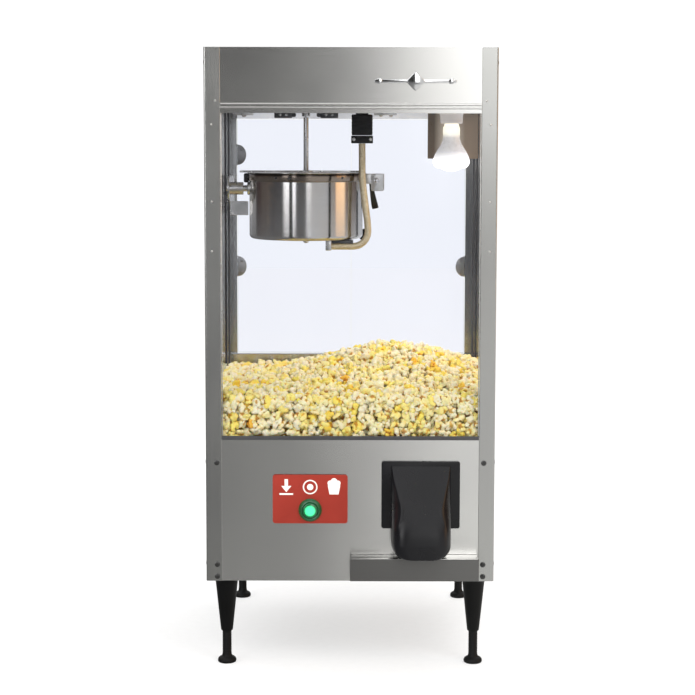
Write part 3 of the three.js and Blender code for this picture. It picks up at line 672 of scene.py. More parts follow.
PANE = (clear_pane("cabin_pane", PALE_BLUE, 0.015), "pane")
# Side panes: a low of 0.3 darkens them at a low angle, a painted reflection of the dark cabin inside.
SIDE_PANE = (clear_pane("side_pane", PALE_BLUE, 0.015, 0.3), "pane")
DOOR_PANE = (clear_pane("door_pane", PALE_BLUE, 0.03, 1.0, (0.3, 0.42, 0.4)), "door_pane")
BLACK = (moulded("black_plastic", srgb(20, 20, 21), (0.34, 0.46)), "black_plastic")
CHUTE = (moulded("chute_plastic", srgb(15, 15, 18), (0.24, 0.33), 2200, 0.02, shine=0.3), "chute_plastic")
LEG = (moulded("leg_paint", srgb(9, 9, 9), (0.4, 0.52), 1200, 0.05, shine=0.16), "leg_paint")
RUBBER = (moulded("foot_rubber", srgb(13, 13, 13), (0.46, 0.6), 900, 0.06, shine=0.2), "foot_rubber")
SEAL = (moulded("sill_rubber", srgb(64, 64, 66), (0.4, 0.5), 900, 0.03, shine=0.2), "foot_rubber")
# Painted light: the pale seal glows (lit=0.4) on a strip that the lamps leave in shade.
PALE_SEAL_PAINTED_GLOW = (moulded("pale_seal_painted_glow", srgb(226, 227, 229), (0.35, 0.45), 900, 0.02, lit=0.4), "porcelain")
LABEL = (film("label_film", srgb(150, 48, 36)), "label_film")
INK = (film("label_ink", srgb(240, 236, 230)), "label_film")
LENS = (lens("button_lens", srgb(66, 236, 150), srgb(6, 70, 38), 12.0, 0.7), "button_lens")
RING = (lens("button_ring", srgb(4, 74, 40), srgb(3, 50, 28), 40.0, 0.12), "button_lens")
GLASS = (lamp_glass(), "lamp_glass")
PORCELAIN = (moulded("porcelain", srgb(230, 223, 215), (0.2, 0.32), 800, 0.02, 0.4), "porcelain")
BRAID = (braid_metal(), "conduit_braid")
CORN = (popped_corn(), "popped_corn")


# ---------------------------------------------------------------- camera and cord

def camera():
    """Camera level with the kettle, looking slightly down."""
    distance = 3.126
    down = 5.8
    roll = -0.12
    data = bpy.data.cameras.new("camera")
    data.sensor_width = 36
    data.lens = 93.4
    data.shift_x = -0.0095
    data.shift_y = -0.051
    thing = bpy.data.objects.new("camera", data)
    thing.location = (0.0055, FRONT * MM - distance, 0.95)
    thing.rotation_euler = (math.radians(90 - down), math.radians(roll), 0)
    bpy.context.scene.collection.objects.link(thing)
    bpy.context.scene.camera = thing


def kettle_plug():
    """Plug with a ribbed grip, and the clamp that holds the conduit with two screws."""
    body = prism(rounded(-19.5, 19.5, -13.6, 13.6, 5), 938, 977, 1.6, 3)
    ribs = [prism(rounded(-20, 20, -14, 14, 5), z, z + 3.2, 1.1, 2) for z in (942, 948, 954, 960, 966, 972)]
    clamp = prism(rounded(-20.5, 20.5, -11, 11, 4), 923, 937.4, 1.4, 3)
    neck = turned([(0, 976), (12, 976), (12, 982.6), (11.4, 983), (0, 983)], 40)
    form = moved(join(body, *ribs, clamp, neck), (PLUG_X, PLUG_Y, 0))
    plug = piece("plug_body", form, BLACK, stands_for=("kettle_plug",))
    places = [(PLUG_X + side * 15.6, PLUG_Y - 11, 930.4) for side in (-1, 1)]
    heads = piece("plug_screws", screws(places, (0, -1, 0), 3.1, 1.4), FITTING)
    return plug, heads


def woven(angle, distance):
    """Radius of the braid at an angle round it and a distance along it."""
    turn = BRAID_STRANDS * angle / (2 * math.pi)
    lay = distance / BRAID_LAY
    right = turn + lay
    left = turn - lay
    over = (math.floor(right) + math.floor(left)) % 2
    ridge_right = math.sin(math.pi * (right % 1))
    ridge_left = math.sin(math.pi * (left % 1))
    return CONDUIT_RADIUS - BRAID_WIRE + BRAID_WIRE * (ridge_right if over else ridge_left)


def conduit():
    """Braided conduit from the terminal box up to the plug, along the part's own route."""
    route = [Vector((x, PLUG_Y, z)) for x, z in reversed(CONDUIT_ROUTE)]
    path = smooth_path(route, 22)
    thing = make("conduit", tube(path, woven, 54), BRAID[0], 60)
    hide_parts("kettle_conduit")
    plug, heads = kettle_plug()
    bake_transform(thing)


# ---------------------------------------------------------------- cabinet

def cabinet():
    dress(POST, "post_front_left", "post_front_right", "post_rear_left", "post_rear_right")
    dress(PANEL, "lower_shell", "front_lower_panel", "rear_lower_panel", "header_wrap", "rear_control_panel",
          "header_fascia")
    dress(SHELF_PAINTED_SHADE, "crumb_shelf")
    dress(INNER, "ceiling_plate", "hopper_floor", "auger_trough", "auger")
    dress(MOTOR, "auger_gearmotor", "agitator_motor")
    dress(BLACK, "button_switch", "kettle_outlet", "agitator_rocker", "lamp_rocker", "cord_gland")
    dress(SHIELD, "lamp_shield")
    dress(FITTING, "kettle_bracket")
    dress(PANE, "front_window", bevel=0.6)
    dress(SIDE_PANE, "left_window", "right_window", bevel=0.6)
    dress(DOOR_PANE, "door_left", "door_right", bevel=0.6)


def post_hardware():
    """Screws and spot-weld marks on the four posts."""
    levels = (184.0, 366.0, 1064.0)
    mark = turned([(1.9, 0), (1.5, 0.35), (0.8, 0.45), (0, 0.5)], 16)
    for side_name, side in SIDES.items():
        front = [(side * 234.5, FRONT, z) for z in (366.0, 184.0, 162.5)]
        sides = [(side * HALF, y, z) for y in (FRONT + 13, BACK - 13) for z in levels]
        rear = [(side * 241, BACK, z) for z in levels]
        heads = join(screws(front, (0, -1, 0), 4.8, 1.6), screws(sides, (side, 0, 0), 4.0, 1.4),
                     screws(rear, (0, 1, 0), 4.0, 1.4))
        piece(f"post_screws_{side_name}", heads, DARK_STEEL)
        places = [(side * 234.0, 998.0)] + [(side * 241.0, z) for z in (957.0, 824.0, 738.0)]
        marks = [moved(mark, (x, FRONT, z), facing(0, -1, 0)) for x, z in places]
        piece(f"post_marks_{side_name}", join(*marks), FITTING)


def trims():
    """Edge mouldings: under the front window, whose dark grey also stands in for the shadow of the channel
    edge as painted shadow, and up its two sides.
    """
    # Dark sill moulding: partly a rubber trim, partly painted shadow under the channel edge.
    piece("sill_trim_painted_shadow", block(-OPENING, OPENING, FRONT - 0.3, FRONT + 1.7, 406.5, 413.6, 0.7), SEAL)
    for side_name, side in SIDES.items():
        inner, outer = sorted((side * (OPENING - 0.1), side * (OPENING - 1.9)))
        form = block(inner, outer, FRONT + 0.4, FRONT + 3.4, 414.0, HEADER_LIP, 0.4)
        piece(f"window_bead_{side_name}", form, FITTING)


def door_seals():
    """Pale strip over the doors, glowing with painted light, and dark channels at the rear edge of each side
    pane.
    """
    piece("door_head_seal", block(-228, 228, BACK - 14.0, BACK - 11.6, 970.4, 988.0, 0.6), PALE_SEAL_PAINTED_GLOW)
    for side_name, side in SIDES.items():
        inner, outer = sorted((side * 241.6, side * 245.0))
        piece(f"window_channel_{side_name}", block(inner, outer, 226, 238, 402, 984, 1.0), SEAL)


def header_ornament():
    """A chrome bar with a raised diamond, on the right of the header."""
    bar = prism(rounded(-71, 71, -3.2, 3.2, 3.1), 0, 1.8, 0.8, 3)
    diamond = prism([(-17, 0), (0, -17), (17, 0), (0, 17)], 0, 3.0, 1.4, 3)
    studs = [moved(turned([(5.2, 0), (5.2, 1.2), (4, 2.4), (0, 2.9)], 32), (x, 0, 0)) for x in (-62, 62)]
    form = moved(join(bar, diamond, *studs), (111.0, 1032.0, 0))
    piece("header_ornament", upright(form, SKIN_FACE), CHROME)


def half_disc(radius, thickness):
    """A round-ended plate along +X from a straight edge, rising along Z."""
    outline = [(0, -radius)] + arc(radius * 0.05, 0, radius, -88, 88, 24) + [(0, radius)]
    return prism([(x * 0.82, y) for x, y in outline], 0, thickness, 0.5)


def door_hinges():
    """Hinge leaves: round ones on the doors, plates on the rear posts, and a pin between them."""
    door_face = 271.4
    leaf_y = {"left": door_face + 2.0, "right": door_face}
    for side_name, side in SIDES.items():
        for level, z in HINGE_LEVELS.items():
            turn = Matrix(((-side, 0, 0), (0, 0, 1), (0, 1, 0)))
            leaf = moved(half_disc(20, 2.0), (side * 228.0, leaf_y[side_name], z), turn)
            places = [(side * 220.0, door_face, z + lift) for lift in (-11, 11)]
            heads = screws(places, (0, -1, 0), 3.0, 1.2)
            piece(f"hinge_leaf_{side_name}_{level}", join(leaf, heads), HINGE, f"door_{side_name}", sharp=30)
            plate = block(*sorted((side * 231.0, side * 247.8)), 279.4, 281.3, z - 20, z + 20, 0.7)
            knuckles = [turned([(0, a), (2.9, a), (3, a + 0.3), (3, b - 0.3), (2.9, b), (0, b)], 28)
                        for a, b in ((-20, -7), (-6.4, 6.4), (7, 20))]
            pin = turned([(0, -21), (1.5, -20.8), (1.5, 20.8), (0, 21)], 20)
            barrel = moved(join(*knuckles, pin), (side * 229.5, 282.3, z))
            rear = screws([(side * 241.0, 281.3, z + lift) for lift in (-12, 12)], (0, 1, 0), 3.2, 1.3)
            piece(f"hinge_{side_name}_{level}_plate", join(plate, barrel, rear), CHROME,
                  stands_for=(f"hinge_{side_name}_{level}",))


def door_knobs():
    """Round pulls with a waist and a ring of grooves."""
    profile = [(0, 0), (8.2, 0), (8.4, 0.6), (7, 3), (6.4, 7), (7.4, 11)]
    profile += arc(9.2, 15, 2.6, 215, 330, 6) + [(12, 15.2), (12, 21)] + arc(10, 22.8, 2, 0, 80, 5)
    profile += [(6, 25.0), (5.4, 24.4), (0, 24.2)]
    form = turned(profile, 72)
    ridged = []
    for x, y, z in form[0]:
        reach = math.hypot(x, y)
        flute = 1 - 0.03 * (1 + math.cos(18 * math.atan2(y, x))) if reach > 11.5 else 1
        ridged.append((x * flute, y * flute, z))
    for side_name, side in SIDES.items():
        knob = moved((ridged, form[1]), (side * DOOR_KNOB_X, 278.9, DOOR_KNOB_Z), facing(0, 1, 0))
        piece(f"door_pull_{side_name}", knob, BLACK, f"door_{side_name}",
              stands_for=(f"door_knob_{side_name}",))


def rear_details():
    """Switch frames with their marks, vent louvres and panel screws on the back, and screws on the roof."""
    for name, x in ROCKER_X.items():
        outline = rounded(-14, 14, -18.5, 18.5, 3)
        hole = rounded(-10.4, 10.4, -13.8, 13.8, 1.5)
        frame_form = ring_plate(outline, hole, 0, 2.2)
        piece(f"switch_frame_{name}", rearward(moved(frame_form, (x, ROCKER_Z, 0)), REAR_FACE), BLACK)
    louvres = [moved(louvre(), (x, 250 + 17 * row, 0)) for x in (-70, 70) for row in range(7)]
    piece("rear_louvres", rearward(join(*louvres), REAR_FACE), PANEL)
    places = [(x, REAR_FACE, z) for x in (-215, 0, 215) for z in (172, 470, 990, 1078)]
    piece("rear_screws", screws(places, (0, 1, 0), 4.0, 1.4), DARK_STEEL)
    roof = [(x, y, TOP) for x in (-238, 0, 238) for y in (-212, 262)]
    piece("roof_screws", screws(roof, (0, 0, 1), 3.6, 0.9), FITTING)


def ring_plate(outer, inner, low, high):
    """A flat frame between two outlines of as many points each."""
    count = len(outer)
    soft = 0.6
    points = []
    for outline, grow in ((outer, 0), (outer, 0), (outer, -soft), (inner, soft), (inner, 0), (inner, 0)):
        points.append([(x + grow * math.copysign(1, x), y + grow * math.copysign(1, y)) for x, y in outline])
    levels = (low, high - soft, high, high, high - soft, low)
    flat = [(x, y, level) for ring, level in zip(points, levels) for x, y in ring]
    faces = skin(len(levels) + 1, count)
    return flat, [tuple(i % len(flat) for i in face) for face in faces]


def louvre():
    """A pressed vent hood, open along its lower edge."""
    half = 45
    section = ((4.5, 0), (3, 1.3), (0, 2.5), (-3, 3.1), (-4.2, 2.9), (-4.2, 2.3), (-3, 1.9), (0, 1.2))
    points = []
    for x in np.linspace(-half, half, 25):
        rise = math.sqrt(max(0.0, 1 - (abs(x) / half) ** 6))
        points.extend((x, y, z * rise) for y, z in section)
    return capped(points, len(section))


# ---------------------------------------------------------------- kettle

def kettle_shell():
    """Spun kettle with a rolled rim band, and its drain nut."""
    wall = [(0, 741), (96, 741)] + arc(100.7, 749, 8, -82, 0, 10)
    rim = [(108.7, 850.6), (109.6, 851.2), (110.9, 851.9), (111.5, 853.4), (111.5, 862.8)]
    bead = arc(109.6, 864.0, 1.9, 0, 180, 8)
    inside = [(105.6, 862), (105.2, 770), (104, 762), (100, 758), (0, 757)]
    profile = wall + rim + bead + inside
    axis = (KETTLE_X, KETTLE_Y, 0)
    piece("kettle_shell", turned(profile, 160), KETTLE, "kettle", ("kettle_body",), at=axis)
    nut = prism(arc(0, 0, 6.6, 0, 300, 5), 735.4, 741, 0.7)
    dome = turned([(0, 731), (2.4, 731.2), (4.4, 732.3), (5.4, 734), (5.6, 736), (0, 736)], 40)
    washer = turned([(0, 739.4), (9.5, 739.4), (9.8, 740), (9.8, 741), (0, 741)], 48)
    hub = turned([(0, 757), (13, 757), (12, 761), (6.4, 762.5), (6.2, 768), (5.4, 768), (0, 768)], 48)
    piece("kettle_bushing", join(nut, dome, washer, hub), FITTING, "kettle", at=axis)


def kettle_fittings():
    """Dark discs in the holes round the rim, as painted shade, the trunnion with its collar, and the clip
    behind the rim's left end.
    """
    # Black discs stand in for the shade inside the rim's holes: painted shade.
    hole_disc = turned([(2.5, 0), (2.5, 0.35), (2.1, 0.6), (1.5, 0.5), (1.4, 0.1), (0, 0.1)], 24)
    ring = []
    for first in (0, 120, 240):
        for angle in (-29, -15, 39):
            around = math.radians(first + angle)
            out = (math.sin(around), -math.cos(around), 0)
            place = (KETTLE_X + RIM_RADIUS * out[0], KETTLE_Y + RIM_RADIUS * out[1], 858.4)
            ring.append(moved(hole_disc, place, facing(*out)))
    piece("kettle_rim_hole_shade", join(*ring), DARK_STEEL, "kettle")
    pin = [(0, 0), (5.6, 0), (6, 0.4), (6, 41), (11.5, 41), (12.5, 42), (12.5, 45.6), (14.5, 46.4),
           (14.5, 49), (0, 49)]
    trunnion = moved(turned(pin, 48), (-240.0, KETTLE_Y, PIVOT_Z), facing(1, 0, 0))
    piece("kettle_trunnion", trunnion, FITTING, "kettle")
    clip = block(-205.5, -196.5, KETTLE_Y - 12, KETTLE_Y + 12, 847.5, 865.0, 2.6, 4)
    piece("kettle_rim_clip", clip, BLACK, "kettle")


def terminal_box():
    """Small folded box under the kettle, a dark clamp bar, and the braid's tail running into the box."""
    box = block(-48, -37, 46, 78, 721, 740.7, 1.2)
    heads = screws([(-42.5, 46, 731)], (0, -1, 0), 2.8, 1.2)
    piece("terminal_cover", join(box, heads), FITTING, "kettle", ("kettle_terminal_box",))
    clamp = block(-37.4, 4, 48, 76, 733.6, 739.8, 1.0)
    piece("terminal_clamp", clamp, DARK_STEEL, "kettle")
    tail = tube([Vector((x, PLUG_Y, 729)) for x in np.arange(-38.0, 1.0, 1.0)], woven, 64)
    piece("conduit_tail", tail, BRAID, "kettle", sharp=180)


def dump_handle():
    """Rounded steel bracket on the kettle's right with a screw in it, and the black grip under it."""
    front = upright(prism(rounded(38, 63.5, 831.5, 864.6, 4.5), -1.8, 0, 0.6), 104)
    rear = upright(prism(rounded(38, 63.5, 845, 864.6, 4.5), -1.8, 0, 0.6), 123.2)
    web = block(61.4, 63.4, 103, 125, 836, 864.4, 0.8)
    root = block(25.3, 40, 104, 106, 845.5, 864.6, 0.8)
    back = block(25.3, 40, 122.8, 125, 845.5, 864.6, 0.8)
    shank = turned([(5.0, 0), (5.0, 0.9), (3.6, 1.3), (3.2, 2.9), (2.4, 3.3), (0, 3.5)], 36)
    bolt = moved(shank, (48.5, 104, 852), facing(0, -1, 0))
    piece("dump_bracket", join(front, rear, web, root, back), FITTING, "kettle", ("dump_handle",))
    piece("dump_bolt", bolt, CHROME, "kettle")
    spine = ((33, 116, 861), (37.5, 122, 850), (41, 139, 828), (44.5, 154, 809), (47, 163, 798))
    path = smooth_path([Vector(p) for p in spine], 10)
    widths = (3.2, 3.4, 3.8, 4.6, 5.6, 6.3, 6.5)
    shares = np.linspace(0, len(widths) - 1, len(path))
    stations = list(zip(path, np.interp(shares, range(len(widths)), widths)))
    piece("dump_grip", lofted_bar(stations, 0.62), BLACK, "kettle")


def lofted_bar(stations, flatness, steps=28):
    """A bar of rounded section along stations of (centre, half width), wide along X."""
    points = []
    for i, (centre, wide) in enumerate(stations):
        ahead = stations[min(i + 1, len(stations) - 1)][0] - stations[max(i - 1, 0)][0]
        across = Vector((0, 1, 0)).cross(ahead).normalized()
        if across.x < 0:
            across = -across
        thick = ahead.normalized().cross(across)
        for k in range(steps):
            angle = 2 * math.pi * k / steps
            c, s = math.cos(angle), math.sin(angle)
            u = math.copysign(abs(c) ** 0.55, c) * wide
            v = math.copysign(abs(s) ** 0.55, s) * wide * flatness
            points.append(centre + across * u + thick * v)
    return points, [face[::-1] for face in capped(points, steps)[1]]


def lids():
    """Two half-round lids with a rolled edge, hinged on a bar over the kettle."""
    radius = 114.0
    inset = 6.2
    start = math.degrees(math.atan2(inset, math.sqrt(radius ** 2 - inset ** 2)))
    rim = arc(0, 0, radius, start, 180 - start, 72)
    notch = arc(0, 0, 14.0, 180 - 26, 26, 10)
    plate = prism(rim + notch, 866.6, 867.9, 0.45)
    edge = [Vector((x * 0.994, y * 0.994, 867.2)) for x, y in arc(0, 0, radius, start + 1, 179 - start, 72)]
    rib = [Vector((x, y, 868.0)) for x, y in arc(0, 0, 60.0, 12, 168, 48)]
    rear = join(plate, tube(edge, even(0.95), 12), tube(rib, even(0.7), 10))
    for name, form in (("front", moved(rear, turn=spin(180))), ("rear", rear)):
        at = (KETTLE_X, KETTLE_Y, 0)
        piece(f"lid_plate_{name}", form, KETTLE, f"lid_{name}", (f"lid_{name}",), at=at)
    bar = prism(rounded(-214, 27.5, KETTLE_Y - 5, KETTLE_Y + 5, 2.4), 866.5, 870.3, 0.6)
    ring = turned([(5.4, 866.4), (12, 866.4), (12, 869.4), (11, 870.3), (5.4, 870.3), (5.4, 866.4)], 48)
    hub = moved(ring, (KETTLE_X, KETTLE_Y, 0))
    pin = turned([(0, 0), (1.7, 0), (1.7, 18), (0, 18)], 16)
    places = [(x - 9, KETTLE_Y + side * 5.4, 868.6) for side in (-1, 1) for x in (-180, -30, 8)]
    pins = [moved(pin, place, facing(1, 0, 0)) for place in places]
    piece("lid_bar_plate", join(bar, hub, *pins), FITTING, "kettle", ("lid_bar",))


def agitator_drive():
    """Shaft from the roof into the kettle with its two arms, and the hexagonal coupling above it."""
    shaft = turned([(0, 757.8), (4.4, 757.8), (4.8, 758.4), (4.8, 971.6), (4.4, 972), (0, 972)], 40)
    tang = block(-1.6, 1.6, -4, 4, 971, 978.5, 0.5)
    collar = turned([(0, 768.4), (9.5, 768.4), (10, 769), (10, 779), (9.4, 779.6), (0, 779.6)], 40)
    arms = []
    for turn_by in (0, 180):
        arm = block(6, 94, -6, 6, 760.2, 762.4, 0.8)
        lip = moved(block(40, 94, -0.9, 0.9, 0, 9, 0.6), (0, 6.0, 761))
        post = block(6, 10, -5, 5, 760.4, 776, 0.8)
        arms.append(moved(join(arm, lip, post), turn=spin(turn_by)))
    axis = (KETTLE_X, KETTLE_Y, 0)
    piece("agitator_shaft", join(shaft, tang, collar, *arms), FITTING, "agitator", ("agitator",), at=axis)
    body = prism(arc(0, 0, 8.1, 0, 300, 5), 973.4, 983, 0.8)
    top = turned([(0, 983), (6.4, 983), (6.6, 985.6), (5, 986), (5, 1003.6), (0, 1004)], 40)
    piece("coupling_hex", join(body, top), FITTING, "drive_coupling", ("drive_coupling",), at=axis)


# ---------------------------------------------------------------- lamp

def lamp():
    """Reflector lamp, its porcelain socket and the screws of its heat shield."""
    face = [(0, 872)] + arc(0, 906, 34.2, -84, -47, 10)
    side = ((27.6, 878.6), (32.4, 884.0), (34, 889.8), (32.6, 898), (26.6, 910.5), (19.6, 921.5), (16.2, 931),
            (15.6, 940), (15.8, 947), (15.2, 953), (13.2, 957.6))
    curve = [(p.x, p.y) for p in smooth_path([Vector((*p, 0)) for p in side], 5)]
    glass = face + curve + [(13, 960), (13, 982), (0, 982)]
    at = (LAMP_X, 0, 0)
    piece("lamp_envelope", turned(glass, 96), GLASS, stands_for=("lamp_bulb",), at=at)
    cup = [(14, 960.6), (14.6, 960), (19.4, 960), (20.2, 961), (20.6, 966), (21, 974.6), (22.2, 978.4),
           (22.9, 982), (23, 989.7), (14, 989.7), (14, 960.6)]
    band = [(20.1, 962.4), (20.9, 962.8), (20.9, 964.6), (20.1, 965), (20.1, 962.4)]
    piece("lamp_cup", join(turned(cup, 80), turned(band, 80)), PORCELAIN, stands_for=("lamp_socket",), at=at)
    heads = screws([(x, 150, 981) for x in (158, 235)], (0, -1, 0), 3.2, 1.3)
    piece("shield_screws", heads, DARK_STEEL)


def ceiling_hardware():
    """Small fittings that hang under the ceiling: two dark clips by the shaft and two screwed plates."""
    foot = CEILING - 19.5
    roller = turned([(0, -8), (3.6, -8), (4.4, -7), (4.4, 7), (3.6, 8), (0, 8)], 28)
    for name, x, sign in (("left", -130.0, 1), ("right", -42.0, -1)):
        body = block(-17, 17, -9, 9, foot, CEILING - 0.2, 1.2)
        tip = moved(roller, (20 * sign, 0, foot + 6), facing(0, 1, 0))
        neck = block(*sorted((15 * sign, 21 * sign)), -7, 7, foot + 4.5, foot + 7.5, 0.8)
        clip = moved(join(body, tip, neck), (x, KETTLE_Y, 0))
        piece(f"ceiling_clip_{name}", clip, DARK_STEEL)
        places = [(x + 6 * sign * side, KETTLE_Y - 9, foot + 6) for side in (-1, 1)]
        piece(f"ceiling_clip_screws_{name}", screws(places, (0, -1, 0), 2.6, 1.2), FITTING)
    under = CEILING - 14.4
    plate = block(43, 85, 40, 66, under, CEILING - 0.2, 0.8)
    heads = screws([(56, 52, under), (75, 52, under)], (0, 0, -1), 3.6, 3.0)
    piece("outlet_plate", join(plate, heads), FITTING)
    stay = block(-224, -188, 100, 130, under, CEILING - 0.2, 0.8)
    head = screws([(-205, 115, under)], (0, 0, -1), 4.4, 3.4)
    piece("bracket_stay", join(stay, head), FITTING)


# ---------------------------------------------------------------- dispensing front

def chute():
    """Hooded black chute: a smooth loft whose face narrows downwards between two ridges, on a plate."""
    deepest, flattest = 72.5, 27
    foot = (CHUTE_FOOT, deepest, flattest)
    bend = (300, 46, 34.5)
    stations = [(361, 2, 50), (352, 9, 49), (340, 17, 46.6), (322, 31, 41), bend, (286, 55.5, 31),
                (275, 62, 29), (262, 68, 27.6), (250, 71, 27), (235, deepest, flattest), foot]
    spine = smooth_path([Vector(s) for s in stations], 6)
    tip = [CHUTE_FOOT - CHUTE_TIP * math.sin(math.radians(6 * k)) for k in range(1, 16)]
    spine += [(z, deepest, flattest) for z in tip]
    points = []
    for z, out, flat in spine:
        points.extend((CHUTE_X + x, FRONT - o, z) for x, o in hood_ring(z, out, flat))
    shrink = (CHUTE_HALF - CHUTE_WALL) / CHUTE_HALF
    for z, out, flat in (spine[-1], bend):
        ring = hood_ring(z, out - CHUTE_WALL, flat - 1)
        points.extend((CHUTE_X + x * shrink, FRONT - max(o, 2.6), z) for x, o in ring)
    sides = len(ring)
    faces = skin(len(points) // sides, sides, closed=False)
    faces.append(tuple(range(len(points) - sides, len(points))))
    plate = upright(prism(rounded(55, 193, 249.4, 369.2, 4), -1.5, 2.5, 0.8, 3), FRONT)
    piece("chute_hood", (points, faces), CHUTE, stands_for=("dispensing_chute",), sharp=50)
    piece("chute_plate", plate, CHUTE)


def hood_ring(z, out, flat):
    """The hood's outline at a height, as (x, distance from the panel): ridged above, rounded below."""
    half = CHUTE_HALF
    if z < CHUTE_FOOT:
        half = CHUTE_HALF - CHUTE_TIP + math.sqrt(max(0.0, CHUTE_TIP ** 2 - (CHUTE_FOOT - z) ** 2))
    face = CHUTE_WALL + out
    shoulder = CHUTE_WALL + 0.4 * out
    ridge = min(2.4, 0.09 * out)
    low = min(1.0, max(0.0, (304 - z) / 52))
    low = low * low * (3 - 2 * low)
    ring = []
    for k in range(33):
        t = k / 32
        if t < 0.2:
            sharp = (-CHUTE_HALF, 2.4 + (shoulder - 2.4) * t / 0.2)
        elif t < 0.6:
            u = (t - 0.2) / 0.4
            rise = 1 - (1 - u) ** 1.5
            inward = (CHUTE_HALF - flat) * u ** 1.3
            sharp = (inward - CHUTE_HALF, shoulder + (face + ridge - shoulder) * rise)
        else:
            u = (t - 0.6) / 0.4
            sharp = (-flat * (1 - u), face + ridge * math.exp(-18 * u) - 0.8 * u)
        angle = math.pi / 2 * t
        soft = (-CHUTE_HALF * max(0.0, math.cos(angle)) ** 0.36, 2.4 + (face - 2.4) * math.sin(angle) ** 0.42)
        x = sharp[0] + (soft[0] - sharp[0]) * low
        ring.append((x * half / CHUTE_HALF, sharp[1] + (soft[1] - sharp[1]) * low))
    return ring + [(-x, o) for x, o in reversed(ring[:-1])]


def shelf_top():
    """Plate in the bright panel steel over the crumb shelf, whose own steel is a darkened copy as painted
    shade.
    """
    outline = rounded(1.0, 224.5, FRONT - 32.4, FRONT - 0.4, 1.2)
    piece("crumb_tray", prism(outline, 200.8, 201.8, 0.3), PANEL)


def label():
    """Red film with white pictograms: an arrow down, a push ring and a tub of popped corn."""
    face = FRONT - 1.5
    sheet = upright(prism(rounded(BUTTON_X - 66, BUTTON_X + 66, 258, 345, 5), 0.7, 1.5, 0.25), FRONT)
    piece("label_sheet", sheet, LABEL, stands_for=("button_label",))
    arrow = [(-3, 14), (-3, 2), (-9, 2), (0, -9), (9, 2), (3, 2), (3, 14)]
    bar = [(-12, -14), (12, -14), (12, -11), (-12, -11)]
    ring_outer = arc(0, 0, 13, 0, 352.5, 47)
    ring_inner = arc(0, 0, 10.6, 0, 352.5, 47)
    carton = [(-8, -13), (8, -13), (11, 3), (-11, 3)]
    ink = [
        moved(prism(list(reversed(arrow)), 0, 0.22), (-42, 0, 0)),
        moved(prism(bar, 0, 0.22), (-42, 0, 0)),
        ring_plate(ring_outer, ring_inner, 0, 0.7),
        prism(arc(0, 0, 5.6, 0, 352.5, 47), 0, 0.22),
        moved(prism(carton, 0, 0.22), (42, 0, 0)),
    ]
    for n, (x, y, r) in enumerate(((-6.5, 7, 5), (6.5, 7, 5), (0, 10.5, 5.6), (0, 5.4, 6.6))):
        ink.append(moved(prism(arc(0, 0, r, 0, 345, 23), 0, 0.23 + 0.01 * n), (42 + x, y, 0)))
    piece("label_marks", upright(moved(join(*ink), (BUTTON_X, 323, 0)), face), INK)


def button():
    """Round push button: a green ring and a brighter lens that moves in."""
    bezel = [(20.5, 0.4), (20.5, 2.6), (19.9, 3.4), (17.2, 7.4), (16.4, 8.2), (15.4, 8.5), (14.6, 8.1),
             (14.3, 7.2), (14.3, 1.2), (10.4, 1.2), (10.4, -29), (12, -29), (12, 0.4), (20.5, 0.4)]
    front = facing(0, -1, 0)
    place = (BUTTON_X, FRONT, BUTTON_Z)
    piece("button_ring", moved(turned(bezel, 96), place, front), RING, stands_for=("button_bezel",))
    cap = [(0, 10.6), (5, 10.5), (9, 10.2)] + arc(11.0, 7.4, 2.7, 75, 5, 8)
    cap += [(13.8, 5.4), (9.8, 5.2), (9.8, -20), (0, -20)]
    piece("button_lens", moved(turned(list(reversed(cap)), 96), place, front), LENS, "button",
          ("button_cap",))


# ---------------------------------------------------------------- legs

def legs():
    """Tapered legs with a top flange, and feet on threaded stems."""
    leg = [(0, 153.7), (22, 153.7), (22.2, 152.6), (21.6, 151), (20.4, 149.4), (19.6, 146), (15.1, 102),
           (10.9, 62), (10.6, 59.6), (9.9, 58.4), (8.6, 58.4), (8.6, 140), (0, 140)]
    foot = [(0, 0), (14.6, 0), (15.8, 0.8), (16.5, 2.6), (16.4, 5.2), (15.2, 7.6), (12.6, 9.6), (10.0, 10.6),
            (9.0, 12.2), (8.4, 14.4), (8.2, 16)]
    for turn_count in range(12):
        z = 18 + 3.2 * turn_count
        foot += [(8.15, z), (7.75, z + 0.8), (7.75, z + 1.6), (8.15, z + 2.4)]
    foot += [(8.0, 99.2), (7.4, 100), (0, 100)]
    for side_name, side in SIDES.items():
        for end, y in LEG_Y.items():
            at = (side * LEG_X, y, 0)
            where = f"{end}_{side_name}"
            piece(f"leg_{where}_shell", turned(leg[::-1], 72), LEG, "root", (f"leg_{where}",), 40, at)
            piece(f"foot_{where}_pad", turned(foot, 64), RUBBER, f"foot_{where}", (f"foot_{where}",), 40, at)


# ---------------------------------------------------------------- popcorn

BATCH = 600
PANE_INSIDE = 245.9
DOOR_INSIDE = 262.4


def heap_top(x, y):
    """The heap's height: a hump on the right, low on the left."""
    def hump(cx, cy, width, depth):
        return np.exp(-(((x - cx) / width) ** 2) - ((y - cy) / depth) ** 2)
    return (478 + 62 * hump(84, 80, 172, 175) + 10 * hump(-230, -60, 80, 150)
            + 3 * np.sin(x / 21) * np.cos(y / 17))


def unit_sphere():
    bm = bmesh.new()
    bmesh.ops.create_icosphere(bm, subdivisions=3, radius=1)
    bm.verts.index_update()
    points = np.array([v.co for v in bm.verts])
    faces = np.array([[v.index for v in f.verts] for f in bm.faces])
    bm.free()
    return points / np.linalg.norm(points, axis=1)[:, None], faces


